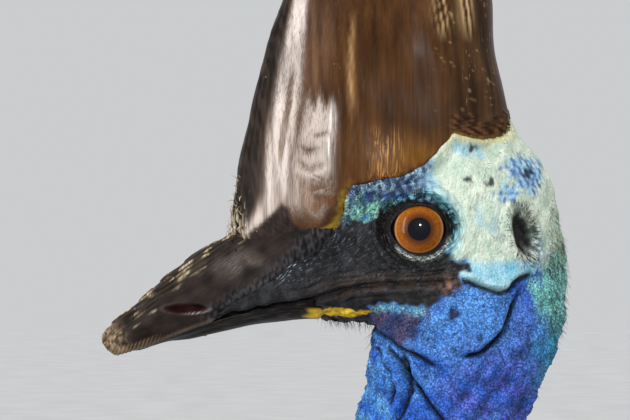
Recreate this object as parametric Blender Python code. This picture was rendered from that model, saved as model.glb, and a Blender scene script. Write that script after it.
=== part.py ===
"""A southern cassowary standing at rest, life size, as a museum shows one.

Lengths are in metres and +Z is up. The bird faces -Y, so its left side looks along +X.
The head and neck are laid out from the centre of the eye, in millimetres back and up.
The trunk and the legs are laid out from the floor below the hips.
"""

import math
import random
from collections import namedtuple

import bmesh
import bpy
from mathutils import Matrix, Vector
from mathutils.bvhtree import BVHTree

# Driving dimensions
MM = 0.001
EYE_HEIGHT = 1.400
EYE_AHEAD = 0.310
EYE_RADIUS = 0.0150
EYE_OFFSET = 0.0160
GAP = 0.0003
LEAST_SHELL_COSINE = 0.25
COAT_REACH = 0.040
LOCK_RISE = 0.003
LEAST_UPWARD = 0.25
LOCK_THICKNESS = 0.0095
LOCK_DROOP = 0.002
LOCK_SINK = 0.012
LOCK_FILL = 0.90
LOCK_SWAY = 0.14
THIGH_REACH = 0.014
QUILL_CLEARANCE = 0.012
QUILL_COUNT = 5
QUILL_RINGS = 5
QUILL_RADIUS = 0.0036
LID_OFFSET = 0.0262
MOUTH_GAP = 0.0007
HOCK_HEIGHT = 0.365
STANCE_HALF_WIDTH = 0.108
LEFT_STEP = -0.045
RIGHT_STEP = 0.045

# Subdivision of the lofts
HEAD_SIDES = 22
FACE_END = 13
CASQUE_SIDES = 18
NECK_SIDES = 14
NECK_JOINT = 3
FOLD_DEPTH = 0.0013
TRUNK_SIDES = 20
DRUMSTICK_SIDES = 10
LEG_SIDES = 9
TOE_SIDES = 8
CLAW_SIDES = 6
CLAW_RINGS = 6

# Widths of a lock's sections from its root towards its tip, as shares of its full width
LOCK_WIDTHS = (0.62, 0.96, 1.0, 0.74, 0.0)
LOCK_FULL_WIDTH = 0.070
# How much wider, higher and deeper the shell round a lock is, in gaps
LOCK_SHELL_WIDTH = 6
LOCK_SHELL_RISE = 2.5
LOCK_SHELL_DEPTH = 1
WELD = 1e-7

Station = namedtuple("Station", "top bottom half_width skew fullness")
COATS = {
    "horn_casque": ((0.17, 0.10, 0.05), 0.30),
    "horn_bill": ((0.035, 0.03, 0.028), 0.35),
    "skin_head": ((0.45, 0.72, 0.78), 0.60),
    "skin_neck": ((0.05, 0.17, 0.55), 0.60),
    "wattle": ((0.62, 0.05, 0.05), 0.45),
    "eye": ((0.55, 0.24, 0.04), 0.08),
    "plumage": ((0.012, 0.011, 0.012), 0.55),
    "quill": ((0.02, 0.018, 0.018), 0.35),
    "leg_scale": ((0.20, 0.20, 0.15), 0.55),
    "claw": ((0.06, 0.05, 0.045), 0.35),
}


def from_eye(back, up):
    """A point of the side view given in millimetres back of and above the eye."""
    return Vector((0, -EYE_AHEAD + back * MM, EYE_HEIGHT + up * MM))


def head_station(top, bottom, half_width, skew=0.0, fullness=1.0):
    return Station(from_eye(*top), from_eye(*bottom), half_width * MM, skew, fullness)


def trunk_station(top, bottom, half_width, skew=0.0, fullness=0.9):
    return Station(Vector((0, *top)), Vector((0, *bottom)), half_width, skew, fullness)


# Sections from the tip of the bill over the head and down to the feathered collar.
# Each has its upper and lower end in the side view, its half width, how far its widest
# part lies above (+) or below (-) the middle, and its fullness: 1 is an ellipse, less is boxier.
BILL_AND_HEAD = [
    head_station((-135.5, -46.5), (-133.5, -51.5), 2.2, -0.2),
    head_station((-130.4, -40.2), (-128.5, -53.6), 5.6, -0.2),
    head_station((-122.8, -34.3), (-120.5, -51.2), 8.6, -0.25),
    head_station((-112.5, -24.8), (-108.5, -48.9), 11.4, -0.3),
    head_station((-101.8, -15.9), (-96.5, -46.8), 13.8, -0.3),
    head_station((-92.6, -9.1), (-85.0, -44.2), 16.0, -0.3),
    head_station((-83.3, -4.1), (-73.5, -41.7), 18.0, -0.25, 0.95),
    head_station((-70.0, 3.0), (-61.0, -39.9), 20.4, -0.25, 0.9),
    head_station((-54.0, 12.0), (-47.0, -38.7), 22.8, -0.22, 0.85),
    head_station((-36.0, 22.0), (-33.0, -38.9), 25.0, -0.2, 0.8),
    head_station((-17.0, 31.0), (-24.0, -39.6), 26.6, -0.15, 0.8),
    head_station((2.0, 40.0), (-20.6, -40.6), 27.8, -0.1, 0.8),
    head_station((20.0, 48.0), (-19.3, -42.2), 30.0, 0.0, 0.82),
    head_station((35.5, 50.5), (-18.9, -44.0), 32.0, 0.02, 0.85),
    head_station((45.0, 38.0), (-18.9, -46.3), 33.0, 0.02, 0.88),
    head_station((55.9, 23.0), (-19.2, -49.2), 33.2, 0.0, 0.9),
    head_station((61.6, 2.0), (-19.8, -53.4), 32.6, 0.0, 0.92),
    head_station((64.2, -20.0), (-20.6, -58.8), 31.4, 0.0, 0.95),
    head_station((62.5, -41.0), (-21.5, -65.0), 30.4, 0.0, 0.95),
    head_station((56.2, -60.5), (-23.0, -72.0), 29.5, 0.0, 0.95),
]
NECK = [
    BILL_AND_HEAD[-1],
    head_station((46.5, -82.0), (-25.8, -81.5), 28.6, 0.0, 0.95),
    head_station((37.5, -106.0), (-31.0, -99.0), 28.0, 0.0, 0.95),
    head_station((27.5, -138.0), (-37.5, -130.0), 27.8, 0.0, 0.95),
    head_station((20.5, -175.0), (-43.5, -170.0), 28.4, 0.0, 0.95),
    head_station((20.0, -215.0), (-46.0, -218.0), 30.4, 0.0, 0.95),
    head_station((27.0, -255.0), (-46.0, -268.0), 34.0, 0.0, 0.95),
    head_station((39.0, -290.0), (-44.5, -315.0), 39.5, 0.0, 0.95),
    head_station((56.0, -322.0), (-43.0, -358.0), 48.0, 0.0, 0.95),
]
# Sections of the core under the coat, from the collar to the rump, in metres behind the hips
# and above the floor. The locks reach as far again past it as COAT_REACH says.
TRUNK = [
    NECK[-1],
    trunk_station((-0.228, 1.058), (-0.366, 0.985), 0.060, -0.05),
    trunk_station((-0.178, 1.034), (-0.372, 0.896), 0.088, -0.08),
    trunk_station((-0.105, 1.024), (-0.356, 0.806), 0.118, -0.08),
    trunk_station((-0.020, 1.032), (-0.308, 0.726), 0.150, -0.06),
    trunk_station((0.055, 1.032), (-0.228, 0.664), 0.172, -0.05),
    trunk_station((0.130, 1.016), (-0.122, 0.624), 0.185, -0.05),
    trunk_station((0.198, 0.986), (-0.005, 0.600), 0.186, -0.05),
    trunk_station((0.262, 0.940), (0.105, 0.585), 0.174, -0.05),
]
TAIL = [
    TRUNK[-1],
    trunk_station((0.315, 0.880), (0.205, 0.566), 0.150, -0.05),
    trunk_station((0.358, 0.808), (0.285, 0.548), 0.112),
    trunk_station((0.384, 0.730), (0.345, 0.545), 0.066),
    trunk_station((0.388, 0.668), (0.372, 0.580), 0.026),
]
# Rows of locks along the core: station number, first and last angle from the spine in
# degrees, the spacing round the section, and the locks' length.
TRUNK_ROWS = [
    (0.55, 8, 176, 0.047, 0.110),
    (1.55, 12, 172, 0.060, 0.160),
    (2.60, 6, 176, 0.071, 0.190),
    (3.70, 13, 172, 0.078, 0.210),
    (4.80, 6, 146, 0.087, 0.225),
    (5.88, 13, 132, 0.090, 0.235),
    (6.95, 6, 124, 0.090, 0.235),
]
TAIL_ROWS = [
    (0.55, 50, 134, 0.078, 0.215),
    (1.45, 10, 150, 0.070, 0.190),
    (2.60, 14, 165, 0.060, 0.150),
]
# Sections of the casque from its root in the skull to its crest, front end, rear end and half width.
CASQUE = [
    head_station((34.0, 31.0), (-75.0, -13.0), 20.0, 0.08, 0.9),
    head_station((37.5, 39.0), (-79.5, -3.0), 24.6, 0.12, 0.85),
    head_station((39.5, 45.0), (-80.0, 8.0), 26.0, 0.18, 0.82),
    head_station((38.6, 51.0), (-78.0, 20.0), 26.4, 0.22, 0.82),
    head_station((36.6, 61.0), (-74.5, 36.0), 26.0, 0.26, 0.82),
    head_station((34.2, 75.0), (-70.5, 56.0), 24.8, 0.30, 0.85),
    head_station((32.4, 89.0), (-65.5, 76.0), 23.4, 0.30, 0.85),
    head_station((31.2, 102.0), (-58.5, 96.0), 21.0, 0.30, 0.88),
    head_station((28.6, 118.0), (-49.0, 117.0), 17.6, 0.28, 0.9),
    head_station((24.5, 135.0), (-37.0, 138.0), 13.8, 0.25, 0.95),
    head_station((17.5, 149.5), (-23.0, 153.5), 9.6, 0.2, 1.0),
    head_station((8.5, 159.5), (-11.0, 162.0), 5.2, 0.1, 1.0),
    head_station((3.0, 163.0), (-4.0, 164.0), 2.2, 0.0, 1.0),
]
# The mouth's line from below the bill's overhanging tip to its corner under the eye.
MOUTH_LINE = [
    (-119.0, -54.5), (-110.0, -47.4), (-95.9, -41.9), (-80.8, -37.0), (-64.0, -33.2),
    (-50.4, -30.8), (-22.0, -24.0), (15.5, -22.2),
]
UPPER_SEAM = [
    (-31.0, 14.0), (-38.0, 3.0), (-45.0, -3.5), (-52.0, -12.0), (-60.0, -20.5),
    (-68.0, -26.5), (-80.0, -32.0), (-86.0, -38.69),
]
LOWER_SEAM = [(-44.0, -28.84), (-40.0, -52.0)]
ORBIT = (0.5, -0.5)
ORBIT_OFFSET = 0.0350
ORBIT_HALF_SIZE = (0.0098, 0.0185, 0.0160)
NOSTRIL = (-99.2, -33.9)
NOSTRIL_HALF_SIZE = (0.0035, 0.0085, 0.0024)
EAR = (44.4, -2.0)
EAR_HALF_SIZE = (0.0080, 0.0038, 0.0088)

# Legs, as points in metres behind the hips and above the floor, with half width and half depth
DRUMSTICK = [
    (0.025, 0.770, 0.054, 0.090), (0.033, 0.690, 0.062, 0.100), (0.062, 0.610, 0.060, 0.090),
    (0.098, 0.540, 0.051, 0.072), (0.128, 0.482, 0.042, 0.054), (0.150, 0.440, 0.034, 0.041),
]
BARE_SHANK = [
    (0.140, 0.474, 0.023, 0.027), (0.158, 0.430, 0.024, 0.029), (0.172, 0.395, 0.029, 0.033),
    (0.176, HOCK_HEIGHT, 0.031, 0.035), (0.170, 0.335, 0.027, 0.030),
]
SCUTE_SPAN = ((0.163, 0.312), (0.118, 0.080))
SCUTE_COUNT = 11
SCUTE_RISE = 0.0022
TOE_SCUTE_RISE = 0.0016
SHANK_HALF_WIDTH = 0.0240
SHANK_WAIST = 0.0030
# Each toe's and its claw's turn in degrees, length, half width, plates, claw's length and arch
TOES = {
    "middle": (-2, -2, 0.122, 0.0180, 7, 0.052, 0.004),
    "outer": (40, 34, 0.085, 0.0155, 5, 0.040, 0.004),
    "inner": (-42, -16, 0.066, 0.0150, 4, 0.112, 0.008),
}
TOE_ROOT = 0.027
THIGH_ROWS = {2: (5, 0.100, 0.056), 4: (5, 0.060, 0.044)}
FOOT_PAD = [(0.115, 0.062, 0.029, 0.028), (0.106, 0.038, 0.035, 0.035), (0.101, 0.014, 0.037, 0.037)]


def clear_scene():
    for obj in list(bpy.data.objects):
        bpy.data.objects.remove(obj)


def make_material(name):
    colour, roughness = COATS[name]
    material = bpy.data.materials.new(name)
    material.use_nodes = True
    shader = material.node_tree.nodes["Principled BSDF"]
    shader.inputs["Base Color"].default_value = (*colour, 1)
    shader.inputs["Roughness"].default_value = roughness
    shader.inputs["Metallic"].default_value = 0.0
    return material


def add_object(name, mesh, coat):
    """Links a mesh to the model's collection and hangs it on the bird's own empty."""
    if coat not in bpy.data.materials:
        make_material(coat)
    mesh.materials.clear()
    mesh.materials.append(bpy.data.materials[coat])
    obj = bpy.data.objects.new(name, mesh)
    bpy.data.collections["cassowary"].objects.link(obj)
    obj.parent = bpy.data.objects["stance"]
    return obj


def smooth_between(a, b, c, d, t):
    """A Catmull-Rom step from b to c, for numbers and vectors alike."""
    return (b * 2 + (c - a) * t + (a * 2 - b * 5 + c * 4 - d) * t**2 + (b * 3 - a - c * 3 + d) * t**3) * 0.5


def refine(stations, steps):
    """The stations with steps - 1 smooth ones between each pair."""
    fine = []
    last = len(stations) - 1
    for i in range(last):
        four = [stations[min(max(i + k, 0), last)] for k in (-1, 0, 1, 2)]
        for step in range(steps):
            fields = zip(*four)
            fine.append(Station(*(smooth_between(*field, step / steps) for field in fields)))
    return [*fine, stations[-1]]


def section_point(station, angle):
    """A point of a section: angle 0 is its upper end, a half turn its lower end."""
    along, across = math.cos(angle), math.sin(angle)
    point = (station.top + station.bottom) / 2 + (station.top - station.bottom) / 2 * along
    swell = math.copysign(abs(across) ** station.fullness, across) * (1 + station.skew * along)
    point.x = station.half_width * swell
    return point


def section_ring(station, sides):
    return [section_point(station, 2 * math.pi * k / sides) for k in range(sides)]


def finished_mesh(bm, name):
    """The mesh of an edited shape, in triangles."""
    bmesh.ops.triangulate(bm, faces=bm.faces)
    mesh = bpy.data.meshes.new(name)
    bm.to_mesh(mesh)
    bm.free()
    return mesh


def ring_mesh(rings):
    """A closed mesh through rings of equal length, capped at both ends."""
    bm = bmesh.new()
    rows = [[bm.verts.new(point) for point in ring] for ring in rings]
    for near, far in zip(rows, rows[1:]):
        for k in range(len(near)):
            after = (k + 1) % len(near)
            bm.faces.new((near[k], near[after], far[after], far[k]))
    for row in (rows[0], rows[-1]):
        centre = bm.verts.new(sum((v.co for v in row), Vector()) / len(row))
        for k in range(len(row)):
            bm.faces.new((row[k], row[(k + 1) % len(row)], centre))
    bmesh.ops.recalc_face_normals(bm, faces=bm.faces)
    return finished_mesh(bm, "loft")


def loft(name, stations, sides, coat):
    return add_object(name, ring_mesh([section_ring(s, sides) for s in stations]), coat)


def set_back(station, towards):
    """The same section moved by the gap between two nodes, square to itself."""
    chord = station.top - station.bottom
    normal = Vector((0, -chord.z, chord.y)).normalized()
    if normal.dot(towards) < 0:
        normal.negate()
    return station._replace(top=station.top + normal * GAP, bottom=station.bottom + normal * GAP)


def sweep(name, points, half_sizes, across, sides, coat, relief=None, floor=None):
    """A closed tube of oval sections along points. relief(i, angle) adds to a radius, and
    nothing of the tube reaches below floor, where it is flat."""
    rings = []
    for i, point in enumerate(points):
        ahead = points[min(i + 1, len(points) - 1)] - points[max(i - 1, 0)]
        deep = ahead.cross(across).normalized()
        half_across, half_deep = half_sizes[i]
        ring = []
        for k in range(sides):
            angle = 2 * math.pi * k / sides
            more = relief(i, angle) if relief else 0.0
            spot = point + across * (half_across + more) * math.cos(angle)
            spot = spot + deep * (half_deep + more) * math.sin(angle)
            if floor is not None:
                spot.z = max(spot.z, floor)
            ring.append(spot)
        rings.append(ring)
    return add_object(name, ring_mesh(rings), coat)


def ribbon_cutter(line, thickness, half_span):
    """A thin sheet across the whole head along a line of the side view."""
    middle = [from_eye(*spot) for spot in line]
    edges = []
    for side in (1, -1):
        for i, spot in enumerate(middle):
            along = (middle[min(i + 1, len(middle) - 1)] - middle[max(i - 1, 0)]).normalized()
            edges.append(spot + Vector((0, -along.z, along.y)) * side * thickness / 2)
    outline = edges[: len(middle)] + edges[len(middle):][::-1]
    bm = bmesh.new()
    face = bm.faces.new([bm.verts.new(spot - Vector((half_span, 0, 0))) for spot in outline])
    made = bmesh.ops.extrude_face_region(bm, geom=[face])
    moved = [part for part in made["geom"] if isinstance(part, bmesh.types.BMVert)]
    bmesh.ops.translate(bm, verts=moved, vec=(2 * half_span, 0, 0))
    bmesh.ops.recalc_face_normals(bm, faces=bm.faces)
    return add_helper(finished_mesh(bm, "ribbon"))


def add_helper(mesh):
    """A mesh that cuts another or is joined into it, and isn't shown itself."""
    obj = bpy.data.objects.new("helper", mesh)
    bpy.data.collections["helpers"].objects.link(obj)
    obj.parent = bpy.data.objects["stance"]
    obj.hide_render = True
    obj.display_type = "WIRE"
    return obj


def ellipsoid(centre, half_size, turn=0.0, rings=10, sides=14):
    """An ellipsoid helper. turn leans it in the side view, in radians about X."""
    bm = bmesh.new()
    bmesh.ops.create_uvsphere(bm, u_segments=sides, v_segments=rings, radius=1.0)
    bmesh.ops.scale(bm, verts=bm.verts, vec=half_size)
    bmesh.ops.rotate(bm, verts=bm.verts, matrix=Matrix.Rotation(turn, 3, "X"))
    bmesh.ops.translate(bm, verts=bm.verts, vec=centre)
    return add_helper(finished_mesh(bm, "ellipsoid"))


def swollen_copy(obj, gap=GAP):
    """A helper of the object's shape, each face of it moved out by at least the gap that two
    nodes keep."""
    bm = bmesh.new()
    bm.from_mesh(obj.data)
    bm.normal_update()
    moves = []
    for v in bm.verts:
        steepest = min(face.normal.dot(v.normal) for face in v.link_faces)
        moves.append(v.normal * gap / max(steepest, LEAST_SHELL_COSINE))
    for vert, move in zip(bm.verts, moves):
        vert.co += move
    return add_helper(finished_mesh(bm, "swollen"))


def helper_again(helper):
    """A copy of a helper that other cuts still need."""
    return add_helper(helper.data.copy())


def as_helper(obj):
    """Turns a shape of the model into one that another is joined with."""
    mesh = obj.data
    bpy.data.objects.remove(obj)
    return add_helper(mesh)


def run_boolean(target, operation, helpers, solver):
    """Joins the helpers to the target or cuts them from it, applies that and removes them."""
    group = bpy.data.collections.new("operands")
    bpy.context.scene.collection.children.link(group)
    for helper in helpers:
        group.objects.link(helper)
    modifier = target.modifiers.new("boolean", "BOOLEAN")
    modifier.operation = operation
    modifier.operand_type = "COLLECTION"
    modifier.collection = group
    modifier.solver = solver
    bpy.context.view_layer.update()
    graph = bpy.context.evaluated_depsgraph_get()
    made = bpy.data.meshes.new_from_object(target.evaluated_get(graph))
    target.modifiers.clear()
    bm = bmesh.new()
    bm.from_mesh(made)
    coats = list(target.data.materials)
    target.data = finished_mesh(bm, target.name)
    for coat in coats:
        target.data.materials.append(coat)
    for helper in helpers:
        bpy.data.objects.remove(helper)
    bpy.data.collections.remove(group)


def cut(target, *helpers, solver="EXACT"):
    run_boolean(target, "DIFFERENCE", list(helpers), solver)
    return target


def join(target, helpers, solver="MANIFOLD"):
    run_boolean(target, "UNION", list(helpers), solver)
    return target


def loose_parts(bm):
    """The faces of each closed surface of a mesh."""
    waiting, parts = set(bm.faces), []
    while waiting:
        part, edge_of_part = set(), [waiting.pop()]
        while edge_of_part:
            face = edge_of_part.pop()
            part.add(face)
            for edge in face.edges:
                for other in edge.link_faces:
                    if other in waiting:
                        waiting.remove(other)
                        edge_of_part.append(other)
        parts.append(part)
    return parts


def part_volume(part):
    total = 0.0
    for face in part:
        first = face.verts[0].co
        for a, b in zip(face.verts[1:], face.verts[2:]):
            total += first.dot(a.co.cross(b.co)) / 6
    return total


def split_parts(obj):
    """The object's closed surfaces as meshes, the largest first."""
    bm = bmesh.new()
    bm.from_mesh(obj.data)
    sizes = sorted((part_volume(p) for p in loose_parts(bm)), reverse=True)
    meshes = []
    for rank in range(len(sizes)):
        copy = bm.copy()
        ordered = sorted(loose_parts(copy), key=part_volume, reverse=True)
        others = [face for part in ordered[:rank] + ordered[rank + 1:] for face in part]
        bmesh.ops.delete(copy, geom=others, context="FACES")
        meshes.append(finished_mesh(copy, "part"))
    bm.free()
    return meshes


def keep_largest(obj):
    obj.data = split_parts(obj)[0]
    return obj


def mesh_centre(mesh):
    return sum((v.co for v in mesh.vertices), Vector()) / len(mesh.vertices)


def both_sides():
    return (("left", 1), ("right", -1))


def eyeball(name, side):
    centre = from_eye(0, 0) + Vector((side * EYE_OFFSET, 0, 0))
    bm = bmesh.new()
    bmesh.ops.create_uvsphere(bm, u_segments=12, v_segments=9, radius=EYE_RADIUS)
    bmesh.ops.rotate(bm, verts=bm.verts, matrix=Matrix.Rotation(math.pi / 2, 3, "Y"))
    bmesh.ops.translate(bm, verts=bm.verts, vec=centre)
    return add_object(name, finished_mesh(bm, name), "eye")


def lid_ring(side):
    """The ring of both eyelids, oval and standing a little out of the face."""
    major, minor, sides, turns = 0.0130, 0.0026, 5, 16
    centre = from_eye(0, 0) + Vector((side * LID_OFFSET, 0, 0))
    rings = []
    for turn in range(turns):
        angle = 2 * math.pi * turn / turns
        out = Vector((0, math.cos(angle) * 1.08, math.sin(angle) * 0.96))
        ring = []
        for k in range(sides):
            about = 2 * math.pi * k / sides
            spot = centre + out * (major + minor * math.cos(about))
            ring.append(spot + Vector((minor * math.sin(about), 0, 0)))
        rings.append(ring)
    bm = bmesh.new()
    rows = [[bm.verts.new(point) for point in ring] for ring in rings]
    for i, row in enumerate(rows):
        far = rows[(i + 1) % turns]
        for k in range(sides):
            after = (k + 1) % sides
            bm.faces.new((row[k], row[after], far[after], far[k]))
    bmesh.ops.recalc_face_normals(bm, faces=bm.faces)
    return add_helper(finished_mesh(bm, "lids"))


def make_head():
    """The head, both halves of the bill, the casque and the eyes."""
    face = refine(BILL_AND_HEAD[: FACE_END + 1], 2)
    whole = loft("head", [*face, *BILL_AND_HEAD[FACE_END + 1:]], HEAD_SIDES, "skin_head")
    casque = loft("casque", CASQUE, CASQUE_SIDES, "horn_casque")
    eyes = [eyeball(f"eye_{label}", side) for label, side in both_sides()]
    for _, side in both_sides():
        orbit = from_eye(*ORBIT) + Vector((side * ORBIT_OFFSET, 0, 0))
        cut(whole, ellipsoid(orbit, ORBIT_HALF_SIZE, rings=7, sides=12))
    join(whole, [lid_ring(side) for _, side in both_sides()], "EXACT")
    for obj in (casque, *eyes):
        cut(whole, swollen_copy(obj))
    for _, side in both_sides():
        nostril = from_eye(*NOSTRIL) + Vector((side * 0.0135, 0, 0))
        cut(whole, ellipsoid(nostril, NOSTRIL_HALF_SIZE, rings=6, sides=8))
        ear = from_eye(*EAR) + Vector((side * 0.0315, 0, 0))
        cut(whole, ellipsoid(ear, EAR_HALF_SIZE, turn=0.28, rings=6, sides=8))
    cut(whole, ribbon_cutter(MOUTH_LINE, MOUTH_GAP, 0.06))
    cut(whole, ribbon_cutter(UPPER_SEAM, GAP, 0.06))
    cut(whole, ribbon_cutter(LOWER_SEAM, GAP, 0.06))
    head, *bills = split_parts(whole)[:3]
    upper, lower = sorted(bills, key=lambda mesh: -mesh_centre(mesh).z)
    whole.data = head
    add_object("bill_upper", upper, "horn_bill")
    add_object("bill_lower", lower, "horn_bill")
    for mesh in (head, upper, lower):
        mesh.materials.clear()
    head.materials.append(bpy.data.materials["skin_head"])
    upper.materials.append(bpy.data.materials["horn_bill"])
    lower.materials.append(bpy.data.materials["horn_bill"])
    return whole


def folded(stations):
    """The stations with every other one a little slimmer, as the neck's skin folds."""
    slim = [s._replace(half_width=s.half_width - FOLD_DEPTH) for s in stations]
    return [slim[i] if i % 2 else stations[i] for i in range(len(stations))]


def make_neck():
    down = Vector((0, 0, -1))
    upper, lower = NECK[: NECK_JOINT + 1], NECK[NECK_JOINT:]
    upper = folded(refine([set_back(upper[0], down), *upper[1:]], 2))
    lower = folded(refine([set_back(lower[0], down), *lower[1:]], 2))
    loft("neck_upper", upper, NECK_SIDES, "skin_neck")
    neck = loft("neck_lower", lower, NECK_SIDES, "skin_neck")
    for label, side in both_sides():
        cut(neck, swollen_copy(make_wattle(f"wattle_{label}", side)))
    keep_largest(neck)


def make_wattle(name, side):
    """A hanging lobe of red skin with swellings down its length."""
    lobes, rings = 4, 13
    points, sizes = [], []
    for i in range(rings):
        t = i / (rings - 1)
        forward = -38.0 - 22.0 * math.sin(min(t * 2.6, 1.0) * math.pi / 2) + 3.0 * t
        points.append(from_eye(forward, -176.0 - 152.0 * t) + Vector((side * (0.0155 + 0.0075 * t), 0, 0)))
        bulb = 1 + 0.13 * math.cos(2 * math.pi * lobes * t)
        width = (0.0085 + 0.0075 * math.sin(math.pi * min(t * 1.12, 1.0) ** 1.5)) * bulb
        close = math.sqrt(max(1 - max((t - 0.84) / 0.165, 0) ** 2, 0.03))
        sizes.append((width * close, width * 0.72 * close))
    return sweep(name, points, sizes, Vector((1, 0, 0)), 8, "wattle")


def surface_tree(obj):
    bm = bmesh.new()
    bm.from_mesh(obj.data)
    tree = BVHTree.FromBMesh(bm)
    bm.free()
    return tree


def lie_of_coat(normal):
    """The way the coat lies: back along the spine, down over the flanks, the breast and the
    rump. It slides along the surface where that is in its way, and hangs free where it isn't."""
    flank = 1 - max(normal.z, 0) ** 1.2
    slope = math.radians(16 + 48 * flank + 22 * abs(normal.y) * flank)
    flow = Vector((0, math.cos(slope), -math.sin(slope)))
    return (flow - normal * min(flow.dot(normal), 0)).normalized()


def lock_path(tree, root, length, reach, sway):
    """Points down the middle of a lock, each with its way along and its way out of the coat."""
    near, out, _, _ = tree.find_nearest(root)
    flow = lie_of_coat(out)
    path = [(near - out * LOCK_SINK - flow * LOCK_SINK, flow, out)]
    spot, steps = near, len(LOCK_WIDTHS) - 1
    for i in range(1, steps + 1):
        turned = (flow + flow.cross(out) * sway * (1 - 1.6 * i / steps)).normalized()
        spot = spot + turned * length / steps
        near, out, _, _ = tree.find_nearest(spot)
        height = LOCK_RISE + (reach - LOCK_RISE) * i / steps
        if out.z > LEAST_UPWARD or (spot - near).dot(out) < height:
            spot = near + out * height
        path.append((spot, turned, out))
        flow = (flow + lie_of_coat(out) * 2).normalized()
    for i in range(1, steps):
        eased = (path[i - 1][0] + path[i][0] * 2 + path[i + 1][0]) / 4
        path[i] = (eased, *path[i][1:])
    return path


def lock_rows(path, width, grow=0.0):
    """Three points of each section of a lock: the edges of its flat under side and its ridge.
    grow makes the sections stouter all round."""
    rows = []
    for (spot, along, out), share in zip(path, LOCK_WIDTHS):
        half = width / 2 * share + LOCK_SHELL_WIDTH * grow
        across = along.cross(out).normalized() * half
        thick = LOCK_THICKNESS * min(share + 0.15, 1) * width / LOCK_FULL_WIDTH if share else 0.0
        low = spot - out * (LOCK_DROOP * share + LOCK_SHELL_DEPTH * grow)
        rows.append((low - across, low + across, spot + out * (thick + LOCK_SHELL_RISE * grow)))
    return rows


def lock_along(path, width):
    """A flat, tapered helper lock with a ridge down its outer side."""
    bm = bmesh.new()
    rows = [[bm.verts.new(point) for point in row] for row in lock_rows(path, width)]
    for near, far in zip(rows, rows[1:]):
        for k in range(3):
            after = (k + 1) % 3
            bm.faces.new((near[k], near[after], far[after]))
            bm.faces.new((near[k], far[after], far[k]))
    bm.faces.new(rows[0])
    bmesh.ops.remove_doubles(bm, verts=bm.verts, dist=WELD)
    bmesh.ops.recalc_face_normals(bm, faces=bm.faces)
    return add_helper(finished_mesh(bm, "lock"))


def lock_shells(path, width):
    """Helpers that hold a lock and the gap round it, one for each stretch of it. Each of them
    reaches a little into the one behind it."""
    rows = lock_rows(path, width, GAP)
    lap = LOCK_SHELL_WIDTH * GAP
    rows[-1] = [point + path[-1][1] * lap for point in rows[-1]]
    shells = []
    for near, far, (_, along, _) in zip(rows, rows[1:], path):
        bm = bmesh.new()
        for point in (*(point - along * lap for point in near), *near, *far):
            bm.verts.new(point)
        made = bmesh.ops.convex_hull(bm, input=bm.verts)
        inner = [v for v in made["geom_interior"] if isinstance(v, bmesh.types.BMVert)]
        bmesh.ops.delete(bm, geom=inner, context="VERTS")
        bmesh.ops.recalc_face_normals(bm, faces=bm.faces)
        shells.append(add_helper(finished_mesh(bm, "shell")))
    return shells


def section_at(stations, place):
    first = min(int(place), len(stations) - 2)
    fields = zip(stations[first], stations[first + 1])
    return Station(*(a + (b - a) * (place - first) for a, b in fields))


def add_coat(core, body_tree, stations, rows, seed):
    """Sets rows of locks on a core, like tiles, and joins them to it. Returns a helper that
    clears the whole from its neighbours by the gap."""
    rng = random.Random(seed)
    locks, shells = [], []
    for place, first, last, spacing, length in rows:
        section = section_at(stations, place)
        for side in (1, -1):
            angle = math.radians(first)
            while angle < math.radians(last):
                root = section_point(section, angle * side)
                long, sway = length * rng.uniform(0.88, 1.12), rng.uniform(-LOCK_SWAY, LOCK_SWAY)
                path = lock_path(body_tree, root, long, COAT_REACH, sway)
                locks.append(lock_along(path, spacing * LOCK_FILL))
                shells += lock_shells(path, spacing * LOCK_FILL)
                ahead = section_point(section, (angle + 0.05) * side)
                angle += 0.05 * spacing * rng.uniform(0.92, 1.08) / (ahead - root).length
    clearance = join(swollen_copy(core), shells)
    keep_largest(join(core, locks))
    return keep_largest(clearance)


def cut_clear(target, clearance):
    return keep_largest(cut(target, helper_again(clearance), solver="MANIFOLD"))


def make_trunk(body_tree):
    first = set_back(TRUNK[0], Vector((0, 0, -1)))
    last = set_back(TRUNK[-1], Vector((0, -1, 0)))
    trunk = loft("trunk", [first, *TRUNK[1:-1], last], TRUNK_SIDES, "plumage")
    clearance = add_coat(trunk, body_tree, TRUNK, TRUNK_ROWS, 11)
    return trunk, clearance


def make_tail(body_tree, trunk_clearance):
    tail = loft("tail", TAIL, TRUNK_SIDES, "plumage")
    clearance = add_coat(tail, body_tree, TAIL, TAIL_ROWS, 12)
    cut_clear(tail, trunk_clearance)
    return clearance


def leg_point(back, up, side, step):
    """A point of a leg. The foot takes the whole of the step and the thigh hardly any of it."""
    share = min(max((0.80 - up) / 0.80, 0), 1)
    return Vector((side * STANCE_HALF_WIDTH, back + step * share, up))


def leg_sweep(name, rows, side, step, coat, relief=None, floor=None, sides=LEG_SIDES):
    points = [leg_point(row[0], row[1], side, step) for row in rows]
    return sweep(name, points, [row[2:] for row in rows], Vector((1, 0, 0)), sides, coat, relief, floor)


def shank_rows():
    """Rows of the bare leg: the hock, then two rows for each scute, then the foot's pad."""
    rows = list(BARE_SHANK)
    (top_back, top_up), (low_back, low_up) = SCUTE_SPAN
    first = len(rows)
    for i in range(SCUTE_COUNT):
        for share in (0.0, 0.88):
            t = (i + share) / SCUTE_COUNT
            thin = SHANK_HALF_WIDTH - SHANK_WAIST * math.sin(math.pi * t)
            back, up = top_back + (low_back - top_back) * t, top_up + (low_up - top_up) * t
            rows.append((back, up, thin, thin * 1.1))
    raised = {first + 2 * i + 1 for i in range(SCUTE_COUNT)}
    return rows + list(FOOT_PAD), raised


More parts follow.
